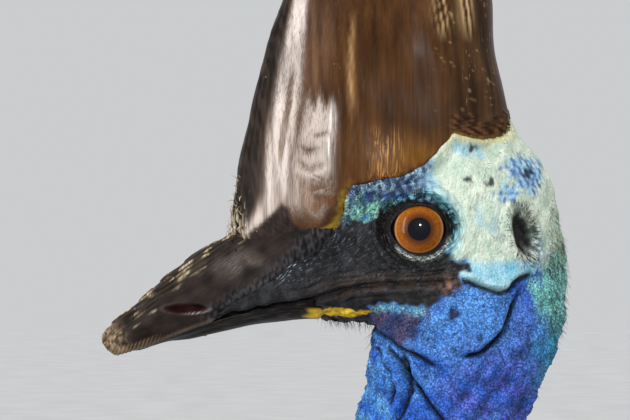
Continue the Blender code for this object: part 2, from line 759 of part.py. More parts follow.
def make_shank(label, side, step):
    """The bare leg with plates down its front, parted at the hock."""
    rows, raised = shank_rows()

    def front_scutes(i, angle):
        return SCUTE_RISE * max(math.sin(angle), 0) ** 0.5 if i in raised else 0.0

    tarsus = leg_sweep(f"tarsus_{label}", rows, side, step, "leg_scale", front_scutes, floor=0.0)
    hock = leg_point(BARE_SHANK[3][0], HOCK_HEIGHT, side, step)
    bm = bmesh.new()
    bmesh.ops.create_cube(bm, size=1.0)
    bmesh.ops.scale(bm, verts=bm.verts, vec=(0.2, 0.2, GAP))
    bmesh.ops.translate(bm, verts=bm.verts, vec=hock)
    cut(tarsus, add_helper(finished_mesh(bm, "slab")))
    parts = sorted(split_parts(tarsus), key=lambda part: mesh_centre(part).z)
    tarsus.data = parts[0]
    return tarsus, add_object(f"shank_{label}", parts[-1], "leg_scale")


def make_drumstick(label, side, step, clearances):
    """The feathered part of the leg, with short locks that hang round its lower end."""
    drumstick = leg_sweep(f"drumstick_{label}", DRUMSTICK, side, step, "plumage", sides=DRUMSTICK_SIDES)
    rng = random.Random(30 + side)
    tree = surface_tree(drumstick)
    locks = []
    for row, (count, length, width) in THIGH_ROWS.items():
        back, up, half_width, half_depth = DRUMSTICK[row]
        centre = leg_point(back, up, side, step)
        for k in range(count):
            angle = 2 * math.pi * (k + row / 2) / count
            root = centre + Vector((half_width * math.cos(angle), half_depth * math.sin(angle), 0))
            path = lock_path(tree, root, length, THIGH_REACH, rng.uniform(-LOCK_SWAY, LOCK_SWAY))
            locks.append(lock_along(path, width))
    join(drumstick, locks)
    for clearance in clearances:
        cut_clear(drumstick, clearance)
    return drumstick


def heading(turn):
    """The way ahead and the way across, turned from straight ahead by some degrees."""
    ahead = Vector((math.sin(math.radians(turn)), -math.cos(math.radians(turn)), 0))
    return ahead, Vector((-ahead.y, ahead.x, 0))


def make_toe(name, root, turn, claw_turn, length, half_width, scutes, claw_length, claw_rise):
    """A toe with its pad on the floor, plates on top and a claw at its end."""
    ahead, across = heading(turn)
    points, sizes, raised = [], [], set()
    for i in range(scutes):
        for share in (0.0, 0.85):
            t = (i + share) / scutes
            if share:
                raised.add(len(points))
            half_high = half_width * (0.98 - 0.36 * t)
            arch = 1 + 0.10 * math.sin(3 * math.pi * t)
            points.append(root + ahead * length * t + Vector((0, 0, half_high * 0.92)))
            sizes.append((half_width * (1 - 0.30 * t) * arch, half_high))
    points.append(root + ahead * length + Vector((0, 0, half_width * 0.60)))
    sizes.append((half_width * 0.45, half_width * 0.40))

    def plates(i, angle):
        return TOE_SCUTE_RISE * max(math.sin(angle), 0) ** 0.5 if i in raised else 0.0

    toe = sweep(name, points, sizes, across, TOE_SIDES, "leg_scale", plates, floor=0.0)
    claw_name, claw_root = name.replace("toe", "claw"), root + ahead * length * 0.90
    return toe, make_claw(claw_name, claw_root, claw_turn, half_width, claw_length, claw_rise)


def make_claw(name, root, turn, half_width, length, rise):
    ahead, across = heading(turn)
    points, sizes = [], []
    root_up = half_width * 0.62
    for i in range(CLAW_RINGS):
        t = i / (CLAW_RINGS - 1)
        arch = rise * math.sin(math.pi * min(t * 0.75 + 0.15, 1))
        up = root_up + arch - (root_up + rise * 0.45) * t**2
        points.append(root + ahead * length * t + Vector((0, 0, max(up, 0.0022))))
        thin = half_width * 0.40 * (1 - t) ** 0.8 + 0.0007
        sizes.append((thin * 0.85, thin))
    return sweep(name, points, sizes, across, CLAW_SIDES, "claw", floor=0.0)


def make_foot(label, side, step, tarsus):
    heel = leg_point(FOOT_PAD[-1][0], 0.0, side, step)
    shells = [swollen_copy(tarsus)]
    for name, (turn, claw_turn, *sizes) in TOES.items():
        turn, claw_turn = side * turn, side * claw_turn
        root = heel + heading(turn)[0] * TOE_ROOT
        toe, claw = make_toe(f"toe_{name}_{label}", root, turn, claw_turn, *sizes)
        shells.append(swollen_copy(toe))
        keep_largest(cut(toe, swollen_copy(claw), *(helper_again(shell) for shell in shells[:-1])))
    for shell in shells:
        bpy.data.objects.remove(shell)


def make_wing(label, side, body_tree):
    """Makes the small wing and its bare quills, which curve down and back over the flank.
    Returns the helper that clears it from its neighbours."""
    def hang(y, z, out):
        coat, normal, _, _ = body_tree.ray_cast(Vector((side, y, z)), Vector((-side, 0, 0)))
        return coat + normal * out

    clear = COAT_REACH + QUILL_CLEARANCE
    stub = [hang(-0.148, 0.946, -0.014), hang(-0.142, 0.915, 0.008), hang(-0.126, 0.880, 0.032)]
    stub += [hang(-0.104, 0.840, clear), hang(-0.092, 0.820, clear)]
    sizes = [(0.024, 0.030), (0.024, 0.032), (0.018, 0.030), (0.010, 0.026), (0.005, 0.020)]
    wing = sweep(f"wing_{label}", stub, sizes, Vector((1, 0, 0)), 8, "quill")
    quills = []
    for k in range(QUILL_COUNT):
        fan = k / (QUILL_COUNT - 1)
        points, widths = [], []
        for i in range(QUILL_RINGS):
            t = i / (QUILL_RINGS - 1)
            y = -0.118 + 0.030 * fan + (0.070 + 0.115 * fan) * t**1.25
            z = 0.846 - (0.235 - 0.075 * fan) * t
            points.append(hang(y, z, clear + 0.004 * math.sin(math.pi * t)))
            widths.append((QUILL_RADIUS * (1 - 0.82 * t),) * 2)
        quills.append(sweep("quill", points, widths, Vector((1, 0, 0)), 3, "quill"))
    clearance = join(swollen_copy(wing), [swollen_copy(quill) for quill in quills])
    keep_largest(join(wing, [as_helper(quill) for quill in quills]))
    return clearance


def settle_on_floor():
    """Moves the whole bird so that the origin is under the middle of its outline."""
    bpy.context.view_layer.update()
    corners = [
        obj.matrix_world @ Vector(corner)
        for obj in bpy.data.collections["cassowary"].objects
        if obj.type == "MESH"
        for corner in obj.bound_box
    ]
    low = [min(c[k] for c in corners) for k in range(3)]
    high = [max(c[k] for c in corners) for k in range(3)]
    bpy.data.objects["stance"].location = (-(low[0] + high[0]) / 2, -(low[1] + high[1]) / 2, -low[2])


def main():
    clear_scene()
    for name in ("cassowary", "helpers"):
        bpy.context.scene.collection.children.link(bpy.data.collections.new(name))
    stance = bpy.data.objects.new("stance", None)
    bpy.data.collections["cassowary"].objects.link(stance)
    make_head()
    make_neck()
    body = loft("body", [*TRUNK, *TAIL[1:]], TRUNK_SIDES, "plumage")
    body_tree = surface_tree(body)
    bpy.data.objects.remove(body)
    trunk, trunk_clearance = make_trunk(body_tree)
    wing_clearances = [make_wing(label, side, body_tree) for label, side in both_sides()]
    for clearance in wing_clearances:
        cut_clear(trunk, clearance)
    tail_clearance = make_tail(body_tree, trunk_clearance)
    for (label, side), wing_clearance in zip(both_sides(), wing_clearances):
        step = LEFT_STEP if side > 0 else RIGHT_STEP
        tarsus, shank = make_shank(label, side, step)
        clearances = [trunk_clearance, tail_clearance, wing_clearance, swollen_copy(shank)]
        make_drumstick(label, side, step, clearances)
        bpy.data.objects.remove(clearances[-1])
        make_foot(label, side, step, tarsus)
    for clearance in (trunk_clearance, tail_clearance, *wing_clearances):
        bpy.data.objects.remove(clearance)
    settle_on_floor()


main()
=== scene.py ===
"""The looks of a life-size southern cassowary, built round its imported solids.

Places on the head and neck are in millimetres: x to the bird's left, u back of and w above the
centre of the eye. The bird faces -Y and stands on the floor at z = 0.
"""

import math

import bpy
import numpy as np
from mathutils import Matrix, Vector
from mathutils.bvhtree import BVHTree


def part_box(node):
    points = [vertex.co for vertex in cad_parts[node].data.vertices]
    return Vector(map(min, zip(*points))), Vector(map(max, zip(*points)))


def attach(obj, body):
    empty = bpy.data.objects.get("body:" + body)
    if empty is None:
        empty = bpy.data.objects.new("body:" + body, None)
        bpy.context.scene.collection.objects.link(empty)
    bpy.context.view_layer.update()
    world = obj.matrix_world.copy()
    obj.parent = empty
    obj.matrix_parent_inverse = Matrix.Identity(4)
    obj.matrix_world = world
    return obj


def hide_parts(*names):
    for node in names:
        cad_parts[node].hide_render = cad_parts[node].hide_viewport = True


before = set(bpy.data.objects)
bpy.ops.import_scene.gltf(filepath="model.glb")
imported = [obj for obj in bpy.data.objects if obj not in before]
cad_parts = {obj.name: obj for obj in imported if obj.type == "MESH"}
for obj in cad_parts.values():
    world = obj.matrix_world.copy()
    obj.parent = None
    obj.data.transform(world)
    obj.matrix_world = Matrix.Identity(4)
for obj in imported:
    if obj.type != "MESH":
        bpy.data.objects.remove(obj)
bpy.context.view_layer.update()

MM = 0.001
EYE_HEIGHT = 1400.0
EYE_AHEAD = 310.0
COAT_REACH = 40.0
SIDES = (("left", 1), ("right", -1))

eye_boxes = [np.array(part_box(f"eye_{label}")) for label, _ in SIDES]
EYE = (eye_boxes[0].mean(axis=0) + eye_boxes[1].mean(axis=0)) / 2


def from_floor(rows, columns=(0, 2)):
    """Rows in metres behind the hips and above the floor, told in the head's millimetres."""
    rows = np.array(rows, float)
    rows[:, :5] *= 1000
    for column in columns:
        rows[:, column] += EYE_AHEAD
        rows[:, column + 1] -= EYE_HEIGHT
    return rows


# Sections as in the solids: upper end (u, w), lower end, half width, skew and fullness
HEAD = np.array([
    (-135.5, -46.5, -133.5, -51.5, 2.2, -0.2, 1.0),
    (-130.4, -40.2, -128.5, -53.6, 5.6, -0.2, 1.0),
    (-122.8, -34.3, -120.5, -51.2, 8.6, -0.25, 1.0),
    (-112.5, -24.8, -108.5, -48.9, 11.4, -0.3, 1.0),
    (-101.8, -15.9, -96.5, -46.8, 13.8, -0.3, 1.0),
    (-92.6, -9.1, -85.0, -44.2, 16.0, -0.3, 1.0),
    (-83.3, -4.1, -73.5, -41.7, 18.0, -0.25, 0.95),
    (-70.0, 3.0, -61.0, -39.9, 20.4, -0.25, 0.9),
    (-54.0, 12.0, -47.0, -38.7, 22.8, -0.22, 0.85),
    (-36.0, 22.0, -33.0, -38.9, 25.0, -0.2, 0.8),
    (-17.0, 31.0, -24.0, -39.6, 26.6, -0.15, 0.8),
    (2.0, 40.0, -20.6, -40.6, 27.8, -0.1, 0.8),
    (20.0, 48.0, -19.3, -42.2, 30.0, 0.0, 0.82),
    (35.5, 50.5, -18.9, -44.0, 32.0, 0.02, 0.85),
    (45.0, 38.0, -18.9, -46.3, 33.0, 0.02, 0.88),
    (55.9, 23.0, -19.2, -49.2, 33.2, 0.0, 0.9),
    (61.6, 2.0, -19.8, -53.4, 32.6, 0.0, 0.92),
    (64.2, -20.0, -20.6, -58.8, 31.4, 0.0, 0.95),
    (62.5, -41.0, -21.5, -65.0, 30.4, 0.0, 0.95),
    (56.2, -60.5, -23.0, -72.0, 29.5, 0.0, 0.95),
    (46.5, -82.0, -25.8, -81.5, 28.6, 0.0, 0.95),
    (37.5, -106.0, -31.0, -99.0, 28.0, 0.0, 0.95),
    (27.5, -138.0, -37.5, -130.0, 27.8, 0.0, 0.95),
    (20.5, -175.0, -43.5, -170.0, 28.4, 0.0, 0.95),
    (20.0, -215.0, -46.0, -218.0, 30.4, 0.0, 0.95),
    (27.0, -255.0, -46.0, -268.0, 34.0, 0.0, 0.95),
    (39.0, -290.0, -44.5, -315.0, 39.5, 0.0, 0.95),
    (56.0, -322.0, -43.0, -358.0, 48.0, 0.0, 0.95),
])
BODY = from_floor([
    (-0.228, 1.058, -0.366, 0.985, 0.060, -0.05, 0.9),
    (-0.178, 1.034, -0.372, 0.896, 0.088, -0.08, 0.9),
    (-0.105, 1.024, -0.356, 0.806, 0.118, -0.08, 0.9),
    (-0.020, 1.032, -0.308, 0.726, 0.150, -0.06, 0.9),
    (0.055, 1.032, -0.228, 0.664, 0.172, -0.05, 0.9),
    (0.130, 1.016, -0.122, 0.624, 0.185, -0.05, 0.9),
    (0.198, 0.986, -0.005, 0.600, 0.186, -0.05, 0.9),
    (0.262, 0.940, 0.105, 0.585, 0.174, -0.05, 0.9),
    (0.315, 0.880, 0.205, 0.566, 0.150, -0.05, 0.9),
    (0.358, 0.808, 0.285, 0.548, 0.112, 0.0, 0.9),
    (0.384, 0.730, 0.345, 0.545, 0.066, 0.0, 0.9),
    (0.388, 0.668, 0.372, 0.580, 0.026, 0.0, 0.9),
])
BIRD = np.vstack([HEAD, BODY])
BODY_START = 27
CASQUE = np.array([
    (28.0, 16.0, -70.0, -26.0, 16.0, 0.05, 0.95),
    (34.0, 31.0, -75.0, -13.0, 20.0, 0.08, 0.9),
    (37.5, 39.0, -79.5, -3.0, 24.6, 0.12, 0.85),
    (39.5, 45.0, -80.0, 8.0, 26.0, 0.18, 0.82),
    (38.6, 51.0, -78.0, 20.0, 26.4, 0.22, 0.82),
    (36.6, 61.0, -74.5, 36.0, 26.0, 0.26, 0.82),
    (34.2, 75.0, -70.5, 56.0, 24.8, 0.30, 0.85),
    (32.4, 89.0, -65.5, 76.0, 23.4, 0.30, 0.85),
    (31.2, 102.0, -58.5, 96.0, 21.0, 0.30, 0.88),
    (28.6, 118.0, -49.0, 117.0, 17.6, 0.28, 0.9),
    (24.5, 135.0, -37.0, 138.0, 13.8, 0.25, 0.95),
    (17.5, 149.5, -23.0, 153.5, 9.6, 0.2, 1.0),
    (8.5, 159.5, -11.0, 162.0, 5.2, 0.1, 1.0),
    (3.0, 163.0, -4.0, 164.0, 2.2, 0.0, 1.0),
])

# Lines of the side view
MOUTH = np.array([
    (-140.0, -58.0), (-129.5, -53.6), (-119.0, -51.0), (-110.0, -47.4), (-95.9, -41.9),
    (-80.8, -37.0), (-64.0, -33.2), (-50.4, -30.8), (-22.0, -24.0), (-7.9, -23.4), (15.5, -22.2),
    (60.0, -22.0),
])
MOUTH_CORNER = 15.5
BILL_EDGE = np.array([
    (-30.0, 26.0), (-36.0, 12.0), (-41.0, 3.0), (-46.0, -4.0), (-52.0, -12.0), (-60.0, -20.0),
    (-68.0, -26.0), (-77.0, -30.5), (-84.0, -34.5), (-87.5, -39.0), (-88.0, -60.0),
])
JAW_EDGE = np.array([(-30.0, -20.0), (-44.0, -30.0), (-42.0, -36.0), (-38.0, -56.0)])
CASQUE_EDGE = np.array([
    (-94.0, 2.0), (-86.0, -2.5), (-80.0, -6.5), (-76.7, -7.1), (-68.0, -8.2), (-59.3, -7.4),
    (-51.5, -5.0), (-45.5, -3.2), (-40.5, -2.4), (-34.5, 2.0), (-32.1, 7.0), (-31.0, 14.0),
    (-27.7, 18.6), (-18.3, 20.6), (-6.2, 22.7), (2.5, 26.2), (7.5, 31.5), (11.3, 36.5),
    (14.7, 40.3), (21.0, 38.6), (27.7, 37.5), (33.5, 38.4), (39.3, 40.1), (50.0, 43.0),
])
EYE_RADIUS, EYE_OFFSET = 15.0, 16.0
# Where one colour of the eye gives way to the next, from its middle out
PUPIL_EDGE, IRIS_MIDDLE, IRIS_RIM, IRIS_EDGE = (4.6, 5.3), (5.2, 8.6), (9.2, 10.0), (10.1, 10.5)
CULMEN = np.array([
    (-140.0, -50.0), (-136.2, -48.3), (-130.4, -40.2), (-122.8, -34.3), (-114.4, -25.9),
    (-101.8, -15.9), (-92.6, -9.1), (-83.3, -4.1), (-70.0, 3.0),
])
EAR, EAR_LEAN = (44.4, -2.0), math.radians(14)
EAR_HOLLOW, EAR_SHADE = (4.4, 10.4), (5.4, 11.0)
EAR_TURN = np.array([
    [math.cos(EAR_LEAN), -math.sin(EAR_LEAN)], [math.sin(EAR_LEAN), math.cos(EAR_LEAN)],
])
NOSTRIL, NOSTRIL_SIZE, NOSTRIL_TILT = (-99.2, -33.9), (9.2, 2.0), 0.06
FULL_TURN = 2 * math.pi


# Small helpers

def srgb(red, green, blue):
    """A colour as the eye names it, 0 to 255, in linear light."""
    share = np.array((red, green, blue)) / 255
    return np.where(share <= 0.04045, share / 12.92, ((share + 0.055) / 1.055) ** 2.4)


def unit(value):
    """A value kept between 0 and 1."""
    return np.clip(value, 0, 1)


def smoothstep(low, high, value):
    """0 at low and below, 1 at high and above. low may be the greater one."""
    share = unit((value - low) / (high - low))
    return share * share * (3 - 2 * share)


def mix(a, b, share):
    """a at a share of 0, b at a share of 1."""
    return a + (b - a) * share


def mound(spots, middle, reach):
    """A soft spot of the side view: 1 in its middle, next to nothing at twice its reach."""
    return np.exp(-(((spots - middle) / reach) ** 2).sum(axis=1))


def ridge(distance, width):
    """1 where a distance is nought, easing off over the width on both sides."""
    return np.exp(-((distance / width) ** 2))


class Paint:
    """The colours of points, laid on in layers. A tone of the table is one colour, or two
    colours with a share that runs from the first to the second."""

    def __init__(self, tones, name, share=None):
        self.tones = tones
        self.colour = self.tone(name, share)

    def tone(self, name, share):
        low, *high = (srgb(*colour) for colour in self.tones[name])
        return mix(low, high[0], unit(share)[:, None]) if high else low

    def lay(self, name, mask, share=None):
        self.over(mask, self.tone(name, share))

    def over(self, mask, colour):
        self.colour = mix(self.colour, colour, mask[:, None])


def wobble(points, length, seed):
    """A smooth random number from about -1 to 1 for each point, with waves of about length."""
    rng = np.random.default_rng(seed)
    total = np.zeros(len(points))
    for _ in range(8):
        way = rng.normal(size=points.shape[1])
        way *= FULL_TURN / length * rng.uniform(0.6, 1.7) / np.linalg.norm(way)
        total += np.sin(points @ way + rng.uniform(0, FULL_TURN))
    return total / 2.6


def to_line(spots, line):
    """For each spot of the side view, its distance from a polyline, positive to the left of
    its way along, and the share of the line's length at the nearest point."""
    best = np.full(len(spots), np.inf)
    signed, share = np.zeros(len(spots)), np.zeros(len(spots))
    lengths = np.linalg.norm(np.diff(line, axis=0), axis=1)
    before = np.concatenate([[0], np.cumsum(lengths)])
    for i, (a, b) in enumerate(zip(line, line[1:])):
        along = (b - a) / lengths[i]
        offset = spots - a
        t = np.clip(offset @ along, 0, lengths[i])
        gap = offset - t[:, None] * along
        distance = np.hypot(gap[:, 0], gap[:, 1])
        closer = distance < best
        best[closer] = distance[closer]
        cross = along[0] * offset[:, 1] - along[1] * offset[:, 0]
        signed[closer] = np.where(cross[closer] < 0, -distance[closer], distance[closer])
        share[closer] = (before[i] + t[closer]) / before[-1]
    return signed, share


def inside(spots, outline):
    """For each spot, its distance within a closed outline, negative outside."""
    outline = np.array(outline, float)
    closed = np.vstack([outline, outline[:1]])
    distance, _ = to_line(spots, closed)
    odd = np.zeros(len(spots), bool)
    for a, b in zip(closed, closed[1:]):
        if a[1] != b[1]:
            crosses = (a[1] > spots[:, 1]) != (b[1] > spots[:, 1])
            at = (b[0] - a[0]) * (spots[:, 1] - a[1]) / (b[1] - a[1]) + a[0]
            odd ^= crosses & (spots[:, 0] < at)
    return np.where(odd, np.abs(distance), -np.abs(distance))


def stations_at(stations, places):
    """Smooth stations, or rows, between the given ones, as the solids have them."""
    last = len(stations) - 1
    first = np.clip(np.floor(places).astype(int), 0, last - 1)
    t = (places - first)[:, None]
    a, b, c, d = (stations[np.clip(first + k, 0, last)] for k in (-1, 0, 1, 2))
    square, cube = a * 2 - b * 5 + c * 4 - d, b * 3 - a - c * 3 + d
    return (b * 2 + (c - a) * t + square * t**2 + cube * t**3) * 0.5


def round_turn(count):
    """Even angles round a closed section."""
    return np.linspace(0, FULL_TURN, count, endpoint=False)


def section_points(stations, angles):
    """Points (row, angle, xuw) of the sections. Angle 0 is a section's upper end."""
    along, across = np.cos(angles), np.sin(angles)
    top, bottom = stations[:, None, 0:2], stations[:, None, 2:4]
    side_view = (top + bottom) / 2 + (top - bottom) / 2 * along[..., None]
    skew, fullness = stations[:, None, 5], stations[:, None, 6]
    swell = np.sign(across) * np.abs(across) ** fullness * (1 + skew * along)
    x = stations[:, None, 4] * swell
    return np.concatenate([x[..., None], side_view], axis=2)


def grid_quads(rows, columns, closed):
    """Faces of a grid of points, in rows; closed joins each row's end to its start."""
    first = np.arange(rows - 1)[:, None] * columns
    k = np.arange(columns if closed else columns - 1)[None, :]
    after = (k + 1) % columns
    quads = [first + k, first + columns + k, first + columns + after, first + after]
    return np.stack(quads, axis=2).reshape(-1, 4)


def grid_normals(grid, closed=True):
    """Unit normals of a grid (row, column, xyz), pointing away from the rows' middles."""
    along = np.gradient(grid, axis=0)
    if closed:
        around = (np.roll(grid, -1, axis=1) - np.roll(grid, 1, axis=1)) / 2
    else:
        around = np.gradient(grid, axis=1)
    normals = np.cross(along, around)
    normals /= np.linalg.norm(normals, axis=2, keepdims=True) + 1e-12
    outward = grid - grid.mean(axis=1, keepdims=True)
    flip = np.sign((normals * outward).sum(axis=(1, 2)))[:, None, None]
    return normals * np.where(flip == 0, 1, flip)


def raised(grid, lift):
    """A closed grid whose points are raised out of it, each by its own lift."""
    return grid + grid_normals(grid) * lift.reshape(grid.shape[:2])[..., None]


def to_row(points):
    """Points told in the head's millimetres, in metres of the shared frame."""
    return EYE + np.asarray(points) * MM


class Shape:
    """Points in millimetres, faces and values of the points, gathered part by part."""

    def __init__(self):
        self.points, self.faces = [], []
        self.values, self.maps = {}, []
        self.count = 0

    def add(self, points, faces, uv=None, **values):
        """faces: a list of index arrays, each for faces of one size. uv: one spot per point."""
        points = np.asarray(points, float).reshape(-1, 3)
        for group in faces:
            self.faces.append(np.asarray(group) + self.count)
        self.points.append(points)
        for name, value in values.items():
            self.values.setdefault(name, []).append(np.asarray(value))
        if uv is not None:
            self.maps.append(np.asarray(uv).reshape(-1, 2))
        self.count += len(points)

    def add_grid(self, grid, **values):
        """Adds a grid that is closed round its rows."""
        self.add(grid, [grid_quads(*grid.shape[:2], True)], **values)

    def build(self, name, material):
        """The object of the shape, riding on the bird's one body."""
        points = to_row(np.vstack(self.points))
        mesh = bpy.data.meshes.new(name)
        corners = np.concatenate([group.ravel() for group in self.faces])
        sizes = np.concatenate([np.full(len(group), group.shape[1]) for group in self.faces])
        mesh.vertices.add(len(points))
        mesh.vertices.foreach_set("co", points.ravel())
        mesh.loops.add(len(corners))
        mesh.loops.foreach_set("vertex_index", corners)
        mesh.polygons.add(len(sizes))
        mesh.polygons.foreach_set("loop_start", np.concatenate([[0], np.cumsum(sizes)[:-1]]))
        mesh.polygons.foreach_set("use_smooth", np.full(len(sizes), True))
        mesh.update(calc_edges=True)
        for value_name, parts in self.values.items():
            value = np.concatenate(parts)
            if value.ndim == 2:
                value = np.column_stack([value, np.ones(len(value))])
                layer = mesh.attributes.new(value_name, "FLOAT_COLOR", "POINT")
                layer.data.foreach_set("color", value.ravel())
            else:
                layer = mesh.attributes.new(value_name, "FLOAT", "POINT")
                layer.data.foreach_set("value", value)
        if self.maps:
            layer = mesh.uv_layers.new(name="OFBake")
            layer.data.foreach_set("uv", np.vstack(self.maps)[corners].ravel())
        mesh.materials.append(material)
        obj = bpy.data.objects.new(name, mesh)
        bpy.context.scene.collection.objects.link(obj)
        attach(obj, "root")
        return obj


def outward_quads(grid):
    """Quads of a closed grid, turned so that they face away from its middle."""
    quads = grid_quads(*grid.shape[:2], True)
    flat = grid.reshape(-1, 3)
    a, b, c = (flat[quads[:, k]] for k in (0, 1, 2))
    facing = np.cross(b - a, c - a)
    outward = (a + c) / 2 - np.repeat(grid.mean(axis=1)[:-1], grid.shape[1], axis=0)
    return quads[:, ::-1] if (facing * outward).sum() < 0 else quads


def grid_tree(grid, quads=None):
    """A tree to cast rays on a closed grid of points."""
    quads = grid_quads(*grid.shape[:2], True) if quads is None else quads
    return BVHTree.FromPolygons([tuple(p) for p in grid.reshape(-1, 3)], [tuple(q) for q in quads])


def side_depth(tree, spots):
    """How far out from the middle a surface reaches at spots of the side view, or nan."""
    out = np.full(len(spots), np.nan)
    for i, (u, w) in enumerate(spots):
        hit = tree.ray_cast(Vector((90, u, w)), Vector((-1, 0, 0)))[0]
        if hit is not None and hit.x > 0:
            out[i] = hit.x
    return out


# Materials

def set_inputs(node, **values):
    """Numbers of a node's sockets, each named with _ for a space."""
    for name, value in values.items():
        node.inputs[name.replace("_", " ")].default_value = value


def new_material(name):
    """A new material, short ways to its nodes, and its shader."""
    material = bpy.data.materials.new(name)
    material.use_nodes = True
    return material, Nodes(material.node_tree), material.node_tree.nodes["Principled BSDF"]


class Nodes:
    """Short ways to add the nodes that the materials share."""

    def __init__(self, tree):
        self.tree = tree
        self.place = self.add("ShaderNodeTexCoord").outputs["Object"]

    def add(self, kind, **settings):
        node = self.tree.nodes.new(kind)
        for name, value in settings.items():
            setattr(node, name, value)
        return node

    def link(self, source, target):
        if hasattr(source, "is_output"):
            self.tree.links.new(source, target)
        elif isinstance(source, (int, float)) or target.type != "RGBA":
            target.default_value = source
        else:
            target.default_value = (*source, 1)

    def attribute(self, name, field="Fac"):
        return self.add("ShaderNodeAttribute", attribute_name=name).outputs[field]

    def stretch(self, scale, turn=0.0):
        """The place on the object, scaled by three numbers for grain that runs one way. The
        turn, in degrees, raises the grain's long way from the level in the side view."""
        node = self.add("ShaderNodeMapping", vector_type="TEXTURE")
        self.link(self.place, node.inputs["Vector"])
        node.inputs["Rotation"].default_value = (math.radians(turn), 0, 0)
        node.inputs["Scale"].default_value = [1 / s for s in scale]
        return node.outputs["Vector"]

    def scaled(self, colour, share):
        node = self.add("ShaderNodeVectorMath", operation="SCALE")
        self.link(colour, node.inputs[0])
        self.link(share, node.inputs["Scale"])
        return node.outputs["Vector"]

    def fade(self, share, a, b):
        """A number that goes from a to b with the share."""
        node = self.add("ShaderNodeMix", data_type="FLOAT")
        for name, value in (("Factor", share), ("A", a), ("B", b)):
            self.link(value, node.inputs[name])
        return node.outputs["Result"]

    def noise(self, scale, detail=3.0, where=None, roughness=0.5, distortion=0.0):
        node = self.add("ShaderNodeTexNoise")
        self.link(where or self.place, node.inputs["Vector"])
        set_inputs(node, Scale=scale, Detail=detail, Roughness=roughness, Distortion=distortion)
        return node.outputs["Fac"]

    def cells(self, scale, feature="F1", where=None, output="Distance"):
        node = self.add("ShaderNodeTexVoronoi", feature=feature)
        self.link(where or self.place, node.inputs["Vector"])
        node.inputs["Scale"].default_value = scale
        return node.outputs[output]

    def math(self, operation, a, b=0.0):
        node = self.add("ShaderNodeMath", operation=operation)
        self.link(a, node.inputs[0])
        self.link(b, node.inputs[1])
        return node.outputs[0]

    def times(self, a, b):
        return self.math("MULTIPLY", a, b)

    def ramp(self, value, low, high, to_low=0.0, to_high=1.0):
        """A smooth step of a value from low to high, told as numbers from to_low to to_high."""
        node = self.add("ShaderNodeMapRange", interpolation_type="SMOOTHSTEP")
        self.link(value, node.inputs["Value"])
        set_inputs(node, From_Min=low, From_Max=high, To_Min=to_low, To_Max=to_high)
        return node.outputs["Result"]

    def blend(self, share, a, b, kind="MIX"):
        node = self.add("ShaderNodeMix", data_type="RGBA", blend_type=kind)
        for name, value in (("Factor", share), ("A", a), ("B", b)):
            self.link(value, node.inputs[name])
        return node.outputs["Result"]

    def bump(self, height, strength, distance, below=None):
        node = self.add("ShaderNodeBump")
        self.link(height, node.inputs["Height"])
        self.link(strength, node.inputs["Strength"])
        node.inputs["Distance"].default_value = distance
        if below is not None:
            self.link(below, node.inputs["Normal"])
        return node.outputs["Normal"]


def skin_material():
    """Bare warty skin: painted colours, pale papillae on a darker ground, hair-like strokes."""
    material, n, shader = new_material("bare_skin")
    paint, grain = n.attribute("paint", "Color"), n.attribute("grain")
    mottle, stipple, stroke = n.attribute("mottle"), n.attribute("stipple"), n.attribute("stroke")
    stirred = n.add("ShaderNodeTexNoise")
    stirred.inputs["Scale"].default_value = 260.0
    n.link(n.place, stirred.inputs["Vector"])
    bent = n.add("ShaderNodeVectorMath", operation="MULTIPLY_ADD")
    n.link(stirred.outputs["Color"], bent.inputs[0])
    bent.inputs[1].default_value = (0.0016, 0.0016, 0.0016)
    n.link(n.place, bent.inputs[2])
    warts, fine = (n.cells(scale, "F1", bent.outputs["Vector"]) for scale in (1020.0, 2300.0))
    creases = n.noise(330.0, 5.0, distortion=0.6)
    level = n.times(n.ramp(warts, 0.10, 0.72, 1.26, 0.42), n.ramp(fine, 0.1, 0.7, 1.10, 0.84))
    level = n.times(level, n.ramp(n.noise(150.0, 3.0), 0.30, 0.70, 0.80, 1.18))
    veins = n.math("ABSOLUTE", n.math("SUBTRACT", n.noise(140.0, 5.0, distortion=0.9), 0.5))
    level = n.times(level, n.ramp(veins, 0.0, 0.030, 0.40, 1.06))
    shaded = n.scaled(paint, n.fade(mottle, n.ramp(fine, 0.1, 0.7, 1.05, 0.92), level))
    frost = n.times(n.times(n.ramp(warts, 0.32, 0.05), n.ramp(creases, 0.45, 0.65)), mottle)
    shaded = n.blend(n.times(frost, 0.06), shaded, (0.55, 0.74, 0.95))
    hairs = n.noise(1.0, 2.0, n.stretch((1500, 1500, 260), -12))
    shaded = n.scaled(shaded, n.ramp(hairs, 0.32, 0.62, 0.82, 1.06))
    strokes = n.ramp(n.noise(1.0, 3.0, n.stretch((1400, 330, 1700), 42)), 0.56, 0.70)
    shaded = n.blend(n.times(strokes, stroke), shaded, srgb(150, 168, 186))
    dots = n.cells(760.0, "F1")
    spots = n.ramp(n.math("SUBTRACT", n.times(stipple, 0.62), dots), -0.04, 0.05)
    colour = n.blend(n.times(spots, 0.80), shaded, (0.010, 0.013, 0.022))
    n.link(colour, shader.inputs["Base Color"])
    n.link(n.ramp(creases, 0.3, 0.7, 0.50, 0.70), shader.inputs["Roughness"])
    set_inputs(shader, Specular_IOR_Level=0.25, Subsurface_Weight=0.05, Subsurface_Scale=1.0)
    set_inputs(shader, Subsurface_Radius=(0.0030, 0.0022, 0.0024))
    coarse = n.bump(n.times(warts, -1.0), n.times(grain, 0.60), 0.0009)
    wrinkled = n.bump(creases, n.times(grain, 0.7), 0.0014, coarse)
    haired = n.bump(hairs, 0.30, 0.0004, wrinkled)
    n.link(n.bump(n.times(fine, -1.0), 0.35, 0.0003, haired), shader.inputs["Normal"])
    return material


